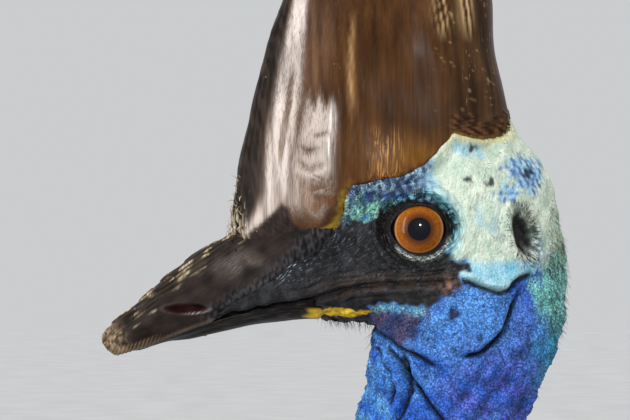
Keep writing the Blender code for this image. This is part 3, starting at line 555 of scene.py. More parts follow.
def horn_material(name, streak_scale, turn, scratch, roughness, relief):
    """Layered horn: painted colours with streaks, scratches, worn flakes, and a pale milky tint
    that is partly the horn's own milkiness and partly a painted reflection.
    """
    material, n, shader = new_material(name)
    paint = n.attribute("paint", "Color")
    worn, bloom, dull = (n.attribute(name) for name in ("worn", "bloom", "dull"))
    streaks = n.noise(1.0, 3.0, n.stretch(streak_scale, turn))
    fine = n.noise(1.0, 4.0, n.stretch([s * 2.7 for s in streak_scale], turn))
    patches = n.noise(60.0, 4.0)
    level = n.times(n.ramp(streaks, 0.3, 0.7, 0.84, 1.16), n.ramp(fine, 0.3, 0.7, 0.90, 1.10))
    shaded = n.scaled(paint, n.times(level, n.ramp(patches, 0.3, 0.7, 0.85, 1.14)))
    # The pale colour laid on below is partly the horn's milkiness and partly a painted reflection
    milky = n.ramp(n.math("ADD", fine, n.times(bloom, 0.26)), 0.46, 0.76, 0.30, 0.92)
    thin = n.times(bloom, milky)
    shaded = n.blend(thin, shaded, srgb(192, 178, 168))
    lines = n.times(n.attribute("comb"), n.ramp(fine, 0.52, 0.60))
    shaded = n.blend(n.times(lines, 0.75), shaded, srgb(184, 130, 76))
    curls = n.noise(1.0, 5.0, n.stretch([s * 0.62 for s in streak_scale], turn), 0.7, 1.6)
    chips = n.ramp(n.math("ADD", curls, n.times(worn, 0.30)), 0.70, 0.76)
    chips = n.times(chips, n.ramp(fine, 0.35, 0.6, 0.3, 1.0))
    n.link(n.blend(n.times(chips, 0.85), shaded, scratch), shader.inputs["Base Color"])
    rough = n.ramp(patches, 0.3, 0.7, roughness - 0.04, roughness + 0.08)
    rough = n.math("ADD", rough, n.times(chips, 0.25))
    glossy = n.math("SUBTRACT", rough, n.times(bloom, 0.12))
    n.link(n.math("ADD", glossy, n.times(dull, 0.5)), shader.inputs["Roughness"])
    shine = n.times(n.ramp(bloom, 0.0, 0.8, 0.08, 0.5), n.ramp(dull, 0.0, 1.0, 1.0, 0.2))
    n.link(shine, shader.inputs["Specular IOR Level"])
    first = n.bump(streaks, relief, 0.0006)
    second = n.bump(fine, relief, 0.0002, first)
    n.link(n.bump(chips, 0.4, 0.0004, second), shader.inputs["Normal"])
    return material


def eye_material():
    """The wet eye: a round pupil, an iris with fibres that run out from it, and a dark rim."""
    material, n, shader = new_material("wet_eye")
    out, turn = n.attribute("out"), n.attribute("turn")
    joined = n.add("ShaderNodeCombineXYZ")
    n.link(n.times(out, 0.35), joined.inputs["X"])
    n.link(n.times(turn, 9.0), joined.inputs["Y"])
    iris_fibres = n.noise(4.0, 5.0, joined.outputs["Vector"], 0.6, 0.3)
    rust = n.blend(n.ramp(out, *IRIS_MIDDLE), srgb(78, 38, 5), srgb(152, 84, 14))
    rust = n.blend(n.ramp(iris_fibres, 0.3, 0.7), rust, n.blend(0.6, rust, srgb(84, 40, 8)))
    rim = n.blend(n.ramp(out, *IRIS_RIM), rust, srgb(158, 112, 62))
    dark = n.blend(n.ramp(out, *IRIS_EDGE), rim, srgb(12, 8, 9))
    pupil = n.blend(n.ramp(out, *PUPIL_EDGE), srgb(5, 8, 16), dark)
    n.link(pupil, shader.inputs["Base Color"])
    set_inputs(shader, Roughness=0.35, Specular_IOR_Level=0.03)
    set_inputs(shader, Coat_Weight=0.30, Coat_Roughness=0.02)
    n.link(n.bump(iris_fibres, 0.15, 0.0004), shader.inputs["Normal"])
    return material


def plain_material(name, low, high, roughness, scale, detail=4.0, bump=0.3, depth=0.0006,
                   stretch=None):
    """A two-coloured material whose grain also shows as relief."""
    material, n, shader = new_material(name)
    where = n.stretch(stretch) if stretch else None
    grain = n.noise(scale, detail, where)
    n.link(n.blend(n.ramp(grain, 0.3, 0.7), low, high), shader.inputs["Base Color"])
    n.link(n.ramp(grain, 0.2, 0.8, roughness - 0.08, roughness + 0.08), shader.inputs["Roughness"])
    n.link(n.bump(grain, bump, depth), shader.inputs["Normal"])
    return material


def feather_material():
    """Hair-like black feathers with a little brown in their tips."""
    material, n, shader = new_material("black_plume")
    tint, tip = n.attribute("tint"), n.attribute("tip")
    base = n.blend(tint, srgb(13, 12, 14), srgb(38, 31, 27))
    n.link(n.blend(n.times(tip, 0.5), base, srgb(64, 50, 40)), shader.inputs["Base Color"])
    n.link(n.ramp(tint, 0.0, 1.0, 0.42, 0.62), shader.inputs["Roughness"])
    set_inputs(shader, Specular_IOR_Level=0.45)
    return material


def scale_material():
    """Horny grey skin of the legs, in small scales between the plates."""
    material, n, shader = new_material("leg_scales")
    paint, plate = n.attribute("paint", "Color"), n.attribute("grain")
    edges = n.cells(260.0, "DISTANCE_TO_EDGE")
    tone = n.cells(260.0, "F1", output="Color")
    dust = n.noise(90.0, 5.0)
    small = n.ramp(edges, 0.0, 0.10)
    lines = n.math("MAXIMUM", small, plate)
    level = n.times(n.ramp(lines, 0.0, 1.0, 0.45, 1.0), n.ramp(dust, 0.3, 0.7, 0.78, 1.2))
    varied = n.blend(0.10, n.scaled(paint, level), tone, "OVERLAY")
    n.link(varied, shader.inputs["Base Color"])
    n.link(n.ramp(dust, 0.3, 0.7, 0.45, 0.66), shader.inputs["Roughness"])
    first = n.bump(lines, 0.8, 0.0009)
    n.link(n.bump(dust, 0.3, 0.0006, first), shader.inputs["Normal"])
    return material


# The head's relief

def line_relief(spots, line, height, width, ends=0.12):
    """A ridge along a line of the side view, or a groove where height is below zero."""
    distance, share = to_line(spots, np.array(line, float))
    taper = smoothstep(0, ends, share) * smoothstep(0, ends, 1 - share)
    return height * taper * ridge(distance, width)


def lobe_relief(spots, line, height, reach, ends=0.1):
    """A swelling that rises steeply on the left of a line and eases off within its reach."""
    distance, share = to_line(spots, np.array(line, float))
    taper = smoothstep(0, ends, share) * smoothstep(0, ends, 1 - share)
    rise = smoothstep(0, 2.2, distance) * (1 - smoothstep(reach * 0.35, reach, distance))
    return height * taper * rise


SMILE = [
    (48.0, -18.2), (46.7, -18.7), (43.0, -20.6), (39.7, -23.0), (36.6, -25.6), (33.0, -26.6),
    (26.8, -24.6), (17.0, -21.0),
]
JAW_FOLD = [
    (43.0, -24.5), (40.6, -28.9), (38.9, -35.5), (36.3, -42.1), (32.3, -47.6), (26.6, -52.3),
    (17.0, -54.6),
]
JAW_LINE = [(-21.0, -40.6), (-13.4, -45.9), (-6.6, -51.0), (1.5, -54.8), (8.0, -58.5)]
FLAPS = [
    # the ridge of a hanging fold of the throat, its height and its half width
    ([(-17.5, -46.0), (-12.0, -56.0), (-8.3, -64.0), (-6.8, -71.0), (-9.5, -82.0), (-16.0, -96.0)],
     2.9, 3.0),
    ([(-4.5, -52.0), (0.5, -61.0), (6.5, -69.0), (12.5, -76.5), (17.0, -88.0), (18.0, -104.0)],
     2.4, 3.6),
]
CREASES = [
    ([(-18.1, -49.3), (-14.7, -56.5), (-11.7, -61.2), (-9.8, -66.2), (-12.5, -76.0)], -3.0, 1.1),
    ([(-13.0, -48.8), (-8.7, -55.7), (-4.9, -62.0), (-3.6, -68.4), (-5.6, -75.4), (-9.6, -84.0)],
     -4.2, 1.2),
    ([(-7.6, -51.6), (-5.3, -58.2), (-2.8, -63.3), (2.3, -71.0), (7.4, -77.4), (11.7, -83.2),
      (13.5, -96.0)], -4.2, 1.2),
]
NECK_FOLDS = [
    ([(52.0, -34.0), (47.0, -50.0), (38.0, -64.0), (27.0, -76.0), (20.0, -92.0)], -1.5, 2.4),
    ([(30.0, -57.0), (22.0, -66.0), (15.0, -80.0), (13.0, -98.0)], -1.2, 2.0),
    ([(58.0, -52.0), (50.0, -66.0), (40.0, -82.0), (34.0, -104.0)], -1.0, 2.2),
    ([(2.0, -90.0), (-2.0, -118.0), (-8.0, -150.0)], -1.6, 3.0),
    ([(24.0, -100.0), (18.0, -130.0), (10.0, -165.0)], -1.3, 3.0),
    ([(-22.0, -100.0), (-24.0, -130.0), (-30.0, -160.0)], -1.3, 3.0),
]
UNDER_EYE = np.array([(-27.0, -8.5), (-14.0, -14.2), (0.0, -16.6), (13.0, -14.8), (23.0, -13.0)])
EYE_LINES = [UNDER_EYE - (0, k) for k in (0, 2.1, 4.2)]
BROW = [(-24.0, 7.0), (-15.0, 13.5), (-4.0, 17.0), (8.0, 15.5), (16.0, 9.0)]


def skin_relief(points):
    """How far the skin stands out of its smooth form, in folds, wrinkles and hollows."""
    spots = points[:, 1:3]
    total = wobble(points, 26.0, 5) * 0.45 + wobble(points, 9.0, 6) * 0.22
    head = np.flatnonzero(points[:, 2] > -190)
    s, p = spots[head], points[head]
    r = np.zeros(len(head))
    mouth, _ = to_line(s, MOUTH)
    shut = smoothstep(MOUTH_CORNER + 3, MOUTH_CORNER - 6, s[:, 0])
    r -= 2.0 * shut * ridge(mouth, 1.0)
    r += 0.9 * shut * ridge(np.abs(mouth) - 2.6, 1.4)
    for gap, depth in ((5.0, 0.7), (7.6, 0.55), (-5.2, 0.6), (-7.6, 0.45)):
        bent = mouth - gap - 0.9 * wobble(p, 22.0, int(40 + gap))
        r -= depth * shut * smoothstep(-62, -40, s[:, 0]) * ridge(bent, 0.75)
    for line in EYE_LINES:
        r += line_relief(s + wobble(p, 16.0, 7)[:, None] * 0.5, line, -0.75, 0.7)
    r += line_relief(s, BROW, 1.5, 2.6, 0.25)
    bent = s + np.column_stack([wobble(p, 18.0, 8), wobble(p, 18.0, 9)]) * 0.35
    r += line_relief(bent, SMILE, -3.0, 0.85, 0.12)
    r += lobe_relief(bent - (0, 0.6), SMILE[::-1], 2.4, 14.0, 0.2)
    r += line_relief(bent, JAW_FOLD, -3.6, 0.95, 0.12)
    r += lobe_relief(bent + (0.6, 0), JAW_FOLD[::-1], 3.6, 22.0, 0.15)
    r += line_relief(bent, JAW_LINE, -2.8, 1.3, 0.1)
    r += lobe_relief(bent, JAW_LINE, 1.8, 9.0, 0.2)
    for line, height, width in (*FLAPS, *CREASES, *NECK_FOLDS):
        r += line_relief(bent, line, height, width, 0.18)
    away = np.hypot(*((bent - EAR) @ EAR_TURN / EAR_HOLLOW).T)
    r += -6.5 * (1 - smoothstep(0.35, 1.15, away)) + 1.2 * ridge(away - 1.4, 0.30)
    wrinkles = wobble(np.column_stack([p[:, 0], s @ (0.4, 1.0), s @ (1.0, -0.4) * 0.35]), 5.0, 12)
    soft = smoothstep(-20, -45, s[:, 1])
    slack = wobble(np.column_stack([p[:, 0], s @ (0.5, 1.0), s @ (1.0, -0.5) * 0.4]), 2.6, 13)
    r += wrinkles * mix(0.20, 0.50, soft) + soft * 0.28 * slack
    r += 1.2 * mound(s, (13.5, -23.0), (3.0, 3.0))
    total[head] += r
    low = smoothstep(-90, -130, spots[:, 1]) * smoothstep(-420, -330, spots[:, 1])
    turn = np.arctan2(points[:, 0], points[:, 1] + spots[:, 1] * 0.03)
    ridges = np.sin(turn * 17 + wobble(points, 60.0, 14) * 2.2) + 0.6 * wobble(points, 15.0, 15)
    return total + low * ridges * 0.9


# The head's colours

LORE = [
    (-36, 13), (-31, 8), (-26, 4), (-19, 4), (-15.5, 0), (-14.5, -8), (-6, -13.5), (6, -14.6),
    (13, -13.2), (20.5, -14.8), (20.5, -16.6), (16.5, -18.2), (17.0, -22.5), (12.0, -27.5),
    (8.0, -30.0), (2.5, -33.5), (-10, -31.5), (-21, -33.2), (-20, -38), (-22, -46), (-48, -46),
    (-110, -56), (-110, -20), (-62, 12), (-44, 20),
]
CROWN = [
    (-30, 21), (-27, 16), (-18, 16), (-8, 14.5), (2, 13.5), (9, 10), (12.5, 4), (13.0, -4),
    (11.5, -10), (15, -14.5), (22, -16.0), (26, -17), (38, -15), (52, -16), (56, -10), (72, -2),
    (74, 16), (62, 44), (44, 60), (24, 48), (0, 40), (-20, 30),
]
CHEEK = [
    (17, -8), (28, -8), (40, -10), (50, -14), (50, -17), (46, -20), (40, -23.4), (36.5, -26.2),
    (33, -27.2), (26.8, -25.2), (19, -22.0), (16.5, -19.5), (16.5, -16),
]
JAW_PURPLE = [
    (-24, -34), (-14, -33), (-2, -33), (6, -31), (3, -37), (-1, -44), (-3, -52), (-10, -48),
    (-21, -42),
]
NAPE = [
    (49, -12), (56, -6), (60, 6), (76, 12), (80, -30), (74, -58), (60, -86), (56, -62), (56, -44),
    (49, -30),
]
MINT = [
    (-35, 12), (-29, 14.5), (-20, 13.4), (-9, 13.4), (-9.5, 10.0), (-14, 8.2), (-19, 5.5),
    (-25, 3.5), (-31, 2.5), (-36, 4),
]
COBALT = [
    [(36, 28), (43, 31), (52, 29), (53, 20), (49, 14.5), (43, 16), (39, 21)],
    [(32, 16), (36, 18.5), (41, 15), (38, 12), (33, 12.5)],
]
SPOTS = [
    (22.7, 34.4, 1.6), (30.0, 19.5, 2.0), (20.6, 20.8, 1.2), (14.2, -35.7, 2.6), (46.5, 24.0, 2.4),
    (20.5, -16.6, 1.4),
]
JAW_STREAK = [(-22.0, -35.4), (-14.0, -32.8), (-6.0, -33.4), (-1.0, -34.8), (4.0, -33.0)]
LORE_STROKES = np.array([(-84.0, -34.0), (-62.0, -22.0), (-47.0, -8.0), (-36.0, 2.0)])
NAPE_RED = [
    (-8, -196), (14, -186), (60, -190), (60, -290), (110, -330), (96, -420), (40, -330),
    (14, -300), (-2, -250),
]


def masked(spots, points, outline, soft, seed, ragged=1.2, length=7.0):
    """How much of each point lies inside an outline whose edge is soft and ragged."""
    edge = inside(spots, outline) + wobble(points, length, seed) * ragged
    edge = edge + wobble(points, length / 3, seed + 1) * ragged * 0.5
    return smoothstep(-soft, soft, edge)


SKIN_TONES = {
    "blue": ((40, 96, 196), (84, 146, 226)),
    "pouch": ((92, 158, 232),),
    "violet": ((82, 100, 206),),
    "jowl": ((88, 122, 222),),
    "throat": ((40, 104, 200), (96, 170, 226)),
    "rear edge": ((62, 150, 200),),
    "low neck": ((58, 62, 168), (96, 70, 160)),
    "nape mint": ((134, 214, 208), (126, 152, 118)),
    "nape low": ((52, 156, 200),),
    "crown": ((172, 192, 176), (204, 212, 194)),
    "crown blue": ((136, 186, 206),),
    "eye ring": ((58, 130, 150), (134, 198, 208)),
    "brow": ((92, 138, 196), (176, 206, 224)),
    "crown rear": ((120, 150, 118), (168, 194, 168)),
    "cheek": ((108, 180, 206), (166, 206, 216)),
    "jaw": ((42, 46, 92), (84, 62, 84)),
    "jaw streak": ((70, 150, 190), (150, 214, 230)),
    "cobalt": ((36, 84, 160), (134, 186, 212)),
    "eye dots": ((36, 74, 92), (120, 186, 194)),
    "lore": ((13, 12, 13), (36, 37, 41)),
    "mouth bands": ((12, 9, 8), (70, 52, 38)),
    "gape": ((56, 42, 36), (158, 116, 92)),
    "socket": ((10, 8, 9), (34, 22, 22)),
    "mint": ((44, 84, 84), (136, 204, 180)),
    "horn shade": ((10, 14, 24), (74, 104, 140)),
    "horn fringe": ((52, 78, 112), (164, 200, 222)),
    "ochre": ((206, 200, 140),),
    "gold": ((84, 66, 24), (150, 122, 40)),
    "yolk": ((176, 138, 18), (232, 196, 44)),
    "spot": ((14, 20, 44),),
    "ear shine": ((110, 160, 176), (204, 226, 230)),
    "ear": ((14, 12, 15), (44, 34, 38)),
    "nape red": ((176, 40, 22), (222, 104, 40)),
    "wattle root": ((150, 30, 38),),
    "under feathers": ((18, 17, 19),),
}


def skin_paint(points, relief):
    """The skin's look at each point: its colour, the relief of its grain, how far papillae
    stand out pale from a dark ground, how dark its speckles are, and its pale strokes."""
    spots = points[:, 1:3]
    u, w = spots.T
    # Wide, middling and fine blotches, about -1 to 1
    a, b, c = (wobble(points, length, seed) for length, seed in ((34.0, 21), (11.0, 22), (4.0, 23)))
    paint = Paint(SKIN_TONES, "blue", 0.45 + 0.35 * a + 0.3 * b)
    paint.lay("pouch", mound(spots, (20, -36), (18, 13)) * 0.75)
    violet = smoothstep(-40, -62, w) * smoothstep(-2, 24, u) * smoothstep(62, 48, u)
    paint.lay("violet", violet * unit(0.6 + 0.4 * b))
    paint.lay("jowl", mound(spots, (47, -44), (8, 16)) * 0.8)
    front = smoothstep(-4, -22, u) * smoothstep(-45, -75, w)
    paint.lay("throat", front * 0.8, 0.5 + 0.5 * b)
    rear = smoothstep(44, 58, u + 0.12 * (w + 60)) * smoothstep(-200, -100, w)
    paint.lay("rear edge", rear * smoothstep(-28, -48, w) * 0.75)
    paint.lay("low neck", smoothstep(-105, -175, w), 0.5 + 0.5 * a)
    grain, mottle = np.full(len(points), 0.85), np.full(len(points), 0.95)
    # Green nape and pale crown
    green = masked(spots, points, NAPE, 5.0, 31, 2.5, 12.0)
    nape = Paint(SKIN_TONES, "nape mint", smoothstep(-26, -4, w))
    nape.lay("nape low", smoothstep(-36, -52, w))
    nape.colour *= mix(0.8, 1.15, unit(0.5 + 0.4 * b + 0.3 * c))[:, None]
    paint.over(green, nape.colour)
    stipple = 0.30 * green * smoothstep(-70, -50, w)
    crown = masked(spots, points, CROWN, 2.0, 33, 1.2)
    pale = Paint(SKIN_TONES, "crown", 0.55 + 0.35 * b + 0.25 * c)
    pale.lay("crown blue", np.clip(0.9 * a + 0.6 * b - 0.35, 0, 0.75) * smoothstep(40, 28, u))
    ring = np.hypot(u, w)
    teal = smoothstep(22, 14.5, ring) * smoothstep(-12, 4, u)
    pale.lay("eye ring", teal * 0.85, 0.5 + 0.6 * c)
    over = smoothstep(8, 0, u) * smoothstep(6, 14, w)
    pale.lay("brow", over, 0.5 + 0.5 * c + 0.3 * b)
    pale.lay("crown rear", smoothstep(52, 62, u) * smoothstep(18, 2, w) * 0.8, 0.5 + 0.5 * c)
    paint.over(crown, pale.colour)
    mottle = mix(mottle, 0.16, crown)
    grain = mix(grain, 0.6, crown)
    speckled = 0.10 + 0.10 * unit(b) + 0.22 * smoothstep(50, 60, u)
    stipple = mix(stipple, speckled + 0.34 * over * smoothstep(0, -12, u), crown)
    under_ear = ridge(u - 50 - 0.25 * (w + 14), 4.5) * ridge(w + 20, 11)
    stipple = np.maximum(stipple, 0.55 * under_ear)
    # Cheek, jaw, the blue patches behind the eye and the ring of dots round it
    cheek = masked(spots, points, CHEEK, 1.0, 35, 0.5)
    share = 0.5 + 0.5 * b + smoothstep(-16, -24, w) * 0.3
    paint.lay("cheek", cheek * smoothstep(-11, -17, w), share)
    mottle = mix(mottle, 0.3, cheek)
    jaw = masked(spots, points, JAW_PURPLE, 2.5, 37, 1.5)
    paint.lay("jaw", jaw * 0.92, 0.5 + 0.6 * b)
    streak = line_relief(spots, JAW_STREAK, 1.0, 1.9)
    paint.lay("jaw streak", streak * 0.8, 0.5 + 0.6 * c)
    for k, outline in enumerate(COBALT):
        patch = masked(spots, points, outline, 1.4, 51 + k, 1.6, 4.0)
        paint.lay("cobalt", patch * 0.85, 0.45 + 1.0 * c)
    round_eye = smoothstep(17.5, 14.0, ring + 0.8 * b) * smoothstep(-17, -9, w)
    beside = np.maximum(smoothstep(-8, 4, u), smoothstep(7, 10, w) * smoothstep(-19, -13, u))
    paint.lay("eye dots", round_eye * beside * 0.9, 0.35 + 0.9 * c + (ring - 15) * 0.12)
    stipple = np.maximum(stipple, 0.34 * round_eye * smoothstep(-4, 6, w))
    # The dark lore before the eye, its brown bands along the mouth and its pale strokes
    pocket = smoothstep(4, -4, u) * smoothstep(7, 3, w)
    pocket = np.maximum(pocket, smoothstep(16, 12, u) * smoothstep(-8.5, -11, w))
    pocket = np.maximum(pocket, smoothstep(-10, -13, u) * smoothstep(12, 8, w))
    pocket *= smoothstep(21.5, 19.5, ring)
    lore = np.maximum(masked(spots, points, LORE, 0.9, 39, 0.7), pocket)
    dark = Paint(SKIN_TONES, "lore", 0.35 + 0.4 * b + 0.5 * c)
    mouth, _ = to_line(spots, MOUTH)
    brown = ridge(mouth - 1.5, 4.5) * smoothstep(-60, -30, u)
    bands = np.sin(mouth * 3.3 + 1.6 * wobble(points, 16.0, 45))
    dark.lay("mouth bands", brown * 0.75, 0.3 + 0.45 * bands + 0.45 * b)
    paint.over(lore, dark.colour)
    paint.lay("gape", mound(spots, (13.0, -24.2), (4.2, 3.2)) * 0.75, 0.35 + 0.9 * c)
    mottle = mix(mottle, 0.35, lore)
    grain = mix(grain, 0.55, lore)
    stipple = mix(stipple, 0.0, lore)
    diagonal = ridge(to_line(spots, LORE_STROKES)[0], 5.0) * smoothstep(-95, -60, u)
    stroke = lore * (0.14 + 0.62 * diagonal) * smoothstep(-26, -18, w + 0.1 * (u + 60))
    socket = smoothstep(13.4, 11.9, np.hypot((u + 1.2) / 1.22, w) + 0.4 * c)
    paint.lay("socket", socket, 0.4 + 0.6 * c)
    # Mint patch over the lore, and the skin's borders with casque and bill
    mint = masked(spots, points, MINT, 1.0, 41, 1.3, 5.0)
    paint.lay("mint", mint * 0.92, 0.5 + 0.6 * b + 0.5 * c)
    stipple = mix(stipple, 0.50 + 0.15 * c, mint)
    mottle = mix(mottle, 0.8, mint)
    border, _ = to_line(spots, CASQUE_EDGE)
    along = smoothstep(-34, -26, u) * smoothstep(8, -3, u)
    uneven = border + 0.8 * b
    shade = smoothstep(-9.5, -7.5, uneven) * smoothstep(-2.8, -4.8, uneven)
    paint.lay("horn shade", shade * along * smoothstep(-25, -20, u) * 0.85, 0.22 + 0.7 * c)
    fringe = smoothstep(-5.2, -3.4, uneven) * along
    paint.lay("horn fringe", fringe * 0.8, 0.5 + 0.9 * c)
    stipple = np.maximum(stipple, 0.42 * fringe)
    ochre = smoothstep(-3.4, -0.8, border + 0.6 * b) * smoothstep(8, 14, u)
    paint.lay("ochre", ochre * smoothstep(46, 36, u) * 0.75)
    gold = smoothstep(-1.4, -0.2, border) * smoothstep(-56, -50, u) * smoothstep(-26, -31, u)
    paint.lay("gold", gold * 0.85, 0.5 + 0.6 * c)
    yolk = np.hypot((u + 33.5) / 13.0, (w + 35.9 - 0.03 * (u + 33)) / 1.8) + 0.12 * b + 0.1 * c
    yolk = smoothstep(1.15, 0.85, yolk)
    paint.lay("yolk", yolk, 0.5 + 0.5 * c)
    # Dark spots, and the ear with painted shade in its pit
    for su, sw, size in SPOTS:
        spot = smoothstep(size * 1.35, size * 0.6, np.hypot(u - su, w - sw) + 0.6 * c)
        paint.lay("spot", spot * 0.92)
    away = np.hypot(*((spots - EAR) @ EAR_TURN / EAR_SHADE).T)
    paint.lay("ear shine", mound(spots, (50.5, -8.5), (3.0, 6.0)) * 0.8, 0.5 + 0.6 * c)
    # Painted shade in the ear's pit
    hole = smoothstep(1.18, 0.45, away + 0.12 * c)
    paint.lay("ear", hole * 0.96, 0.4 + 0.6 * c)
    # Lower neck
    red = masked(spots, points, NAPE_RED, 10.0, 43, 6.0, 40.0)
    paint.lay("nape red", red, 0.5 + 0.5 * a)
    paint.lay("wattle root", mound(spots, (-42, -182), (14, 26)) * 0.9)
    paint.lay("under feathers", smoothstep(-300, -335, w))
    # Shade in the folds
    deep = smoothstep(-0.3, -2.6, relief) * smoothstep(-190, -170, w)
    lines = line_relief(spots + (0, 0.45), SMILE, 1.2, 0.85, 0.06)
    for line in (JAW_FOLD, JAW_LINE, *(line for line, _, _ in CREASES)):
        lines += line_relief(spots, line, 1.0, 0.65, 0.08)
    shadow = (1 - 0.65 * deep) * (1 - 0.92 * unit(lines * 1.25))
    return {
        "paint": paint.colour * shadow[:, None],
        "grain": grain * mix(1.0, 0.35, yolk),
        "mottle": mottle * (1 - yolk),
        "stipple": stipple,
        "stroke": stroke,
    }


# The skin

def row_places(stations, first, last, spacing):
    """Places along the stations with even steps. spacing is a step, or maps a height above the
    eye to one."""
    fine = np.arange(first, last, 0.01)
    rows = stations_at(stations, fine)
    step = np.maximum(*(np.hypot(*(rows[1:, k:k + 2] - rows[:-1, k:k + 2]).T) for k in (0, 2)))
    height = (rows[1:, 1] + rows[1:, 3]) / 2
    spacing = spacing(height) if callable(spacing) else spacing
    share = np.concatenate([[0], np.cumsum(step / spacing)])
    return np.interp(np.arange(0, share[-1], 1.0), share, fine)


def mouth_angles(rows):
    """For each section, the angle at which the mouth's line crosses its side."""
    cosines = np.linspace(1, -1, 81)
    angles = np.full(len(rows), np.nan)
    for i, row in enumerate(rows):
        top, bottom = row[0:2], row[2:4]
        spots = (top + bottom) / 2 + (top - bottom) / 2 * cosines[:, None]
        signed, _ = to_line(spots, MOUTH)
        crossing = np.flatnonzero((signed[:-1] > 0) != (signed[1:] > 0))
        if len(crossing):
            k = crossing[0]
            share = signed[k] / (signed[k] - signed[k + 1])
            angles[i] = math.acos(mix(cosines[k], cosines[k + 1], share))
    return angles


def half_angles(limit, count, share):
    """Angles from the top of a section to its foot, with one of them on the given limit."""
    first = int(round(count * share))
    upper = limit[:, None] * np.linspace(0, 1, first + 1)
    lower = limit[:, None] + (math.pi - limit[:, None]) * np.linspace(0, 1, count - first + 1)[1:]
    return np.concatenate([upper, lower], axis=1)


SKIN_HALF, MOUTH_SHARE = 165, 0.6


def skin_spacing(height):
    """The step between the skin's rows: fine on the head, wide under the coat."""
    head = mix(0.88, 2.4, smoothstep(-95, -200, height))
    return mix(head, 13.0, smoothstep(-320, -420, height))


def whole_ring(half):
    """Angles of both sides from those of one side."""
    return np.concatenate([half, FULL_TURN - half[:, -2:0:-1]], axis=1)


places = row_places(BIRD, 4.0, len(BIRD) - 1.02, skin_spacing)
skin_rows = stations_at(BIRD, places)
even = MOUTH_SHARE * math.pi
mouth_at = mouth_angles(skin_rows)
known = np.isfinite(mouth_at) & (places < 15.6)
mouth_at = np.interp(places, places[known], mouth_at[known])
mouth_at = mix(mouth_at, even, smoothstep(14.8, 18.5, places))
half = half_angles(mouth_at, SKIN_HALF, MOUTH_SHARE)
ring = whole_ring(half)
skin = section_points(skin_rows, ring)

# The casque's smooth form comes first, because the skin is fitted round its foot
CASQUE_COLUMNS = 260


def casque_grid():
    """Points of the casque before it is carved."""
    places = row_places(CASQUE, 0.0, len(CASQUE) - 1.0, 1.15)
    rows = stations_at(CASQUE, places)
    angles = round_turn(CASQUE_COLUMNS)
    return section_points(rows, np.tile(angles, (len(rows), 1)))


casque = casque_grid()
casque_tree = grid_tree(casque)


def fit_round_casque(points):
    """Draws the skin in or out near its border with the casque, so that the horn grows from it."""
    spots = points[:, 1:3]
    border, _ = to_line(spots, CASQUE_EDGE)
    u, w = spots.T
    near = np.flatnonzero((border > -13) & (w > -14) & (u > -98) & (u < 52))
    depth = side_depth(casque_tree, spots[near])
    hit = np.isfinite(depth)
    near, depth = near[hit], depth[hit]
    x, d = np.abs(points[near, 0]), border[near]
    target = depth + mix(0.7, -1.8, smoothstep(-0.6, 0.9, d))
    share = smoothstep(-13, -1.5, d) * smoothstep(41, 31, spots[near, 0])
    drawn = np.where(d < 0.9, mix(x, np.maximum(target, x - 9.0), share), np.minimum(x, target))
    points[near, 0] = np.sign(points[near, 0]) * np.maximum(drawn, 0)
    return points


skin = fit_round_casque(skin.reshape(-1, 3)).reshape(skin.shape)
flat_skin = skin.reshape(-1, 3)
relief = skin_relief(flat_skin)
skin = raised(skin, relief)


def under_horn(points):
    """How far the skin sinks where horn covers it."""
    spots = points[:, 1:3]
    bill, _ = to_line(spots, BILL_EDGE)
    jaw, _ = to_line(spots, JAW_EDGE)
    mouth, _ = to_line(spots, MOUTH)
    upper = smoothstep(0.8, -1.4, bill) * smoothstep(-1.0, 0.5, mouth)
    nostril = 3.2 * smoothstep(1.9, 1.2, np.hypot(*((spots - NOSTRIL) / NOSTRIL_SIZE).T))
    lower = smoothstep(0.8, -1.4, jaw) * smoothstep(0.5, -1.0, mouth)
    chin = smoothstep(20.0, 4.0, jaw) * smoothstep(0.5, -1.0, mouth)
    chin *= smoothstep(-30, -36, spots[:, 0])
    return np.maximum(upper * 1.7, np.maximum(lower * 2.6, chin)) + nostril


skin = raised(skin, -under_horn(flat_skin))
face_tree = grid_tree(skin)
socket = np.hypot(flat_skin[:, 1], flat_skin[:, 2]).reshape(skin.shape[:2])
sunk = 9.0 * smoothstep(20.0, 18.2, socket) * (np.abs(skin[..., 0]) > 8)
skin[..., 0] -= np.sign(skin[..., 0]) * sunk

looks = skin_paint(flat_skin, relief)
bare_skin = skin_material()
shape_of_skin = Shape()
shape_of_skin.add_grid(skin, **looks)
skin_piece = shape_of_skin.build("bird_skin", bare_skin)
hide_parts("head", "neck_upper", "neck_lower", "trunk", "tail")


# Eyes and lids

def eye_grid(side):
    """Points of an eyeball with its bulging cornea, and for each its way out and its turn."""
    turns, steps = 96, 60
    polar = np.linspace(0.0, 0.62 * math.pi, steps)[:, None]
    turn = round_turn(turns)[None, :]
    out = np.sin(polar) * EYE_RADIUS
    cornea = 0.7 * smoothstep(10.5, 4.0, out) * (polar < 1.5)
    x = EYE_OFFSET + np.cos(polar) * EYE_RADIUS + cornea
    grid = np.stack([side * x * np.ones_like(turn), out * np.cos(turn), out * np.sin(turn)], axis=2)
    return grid, out * np.ones_like(turn), turn * np.ones_like(out)


wet_eye = eye_material()
for label, side in SIDES:
    grid, out, turn = eye_grid(side)
    ball = Shape()
    ball.add_grid(grid, out=out.ravel(), turn=turn.ravel() / FULL_TURN)
    piece = ball.build(f"eyeball_{label}", wet_eye)
    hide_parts(f"eye_{label}")


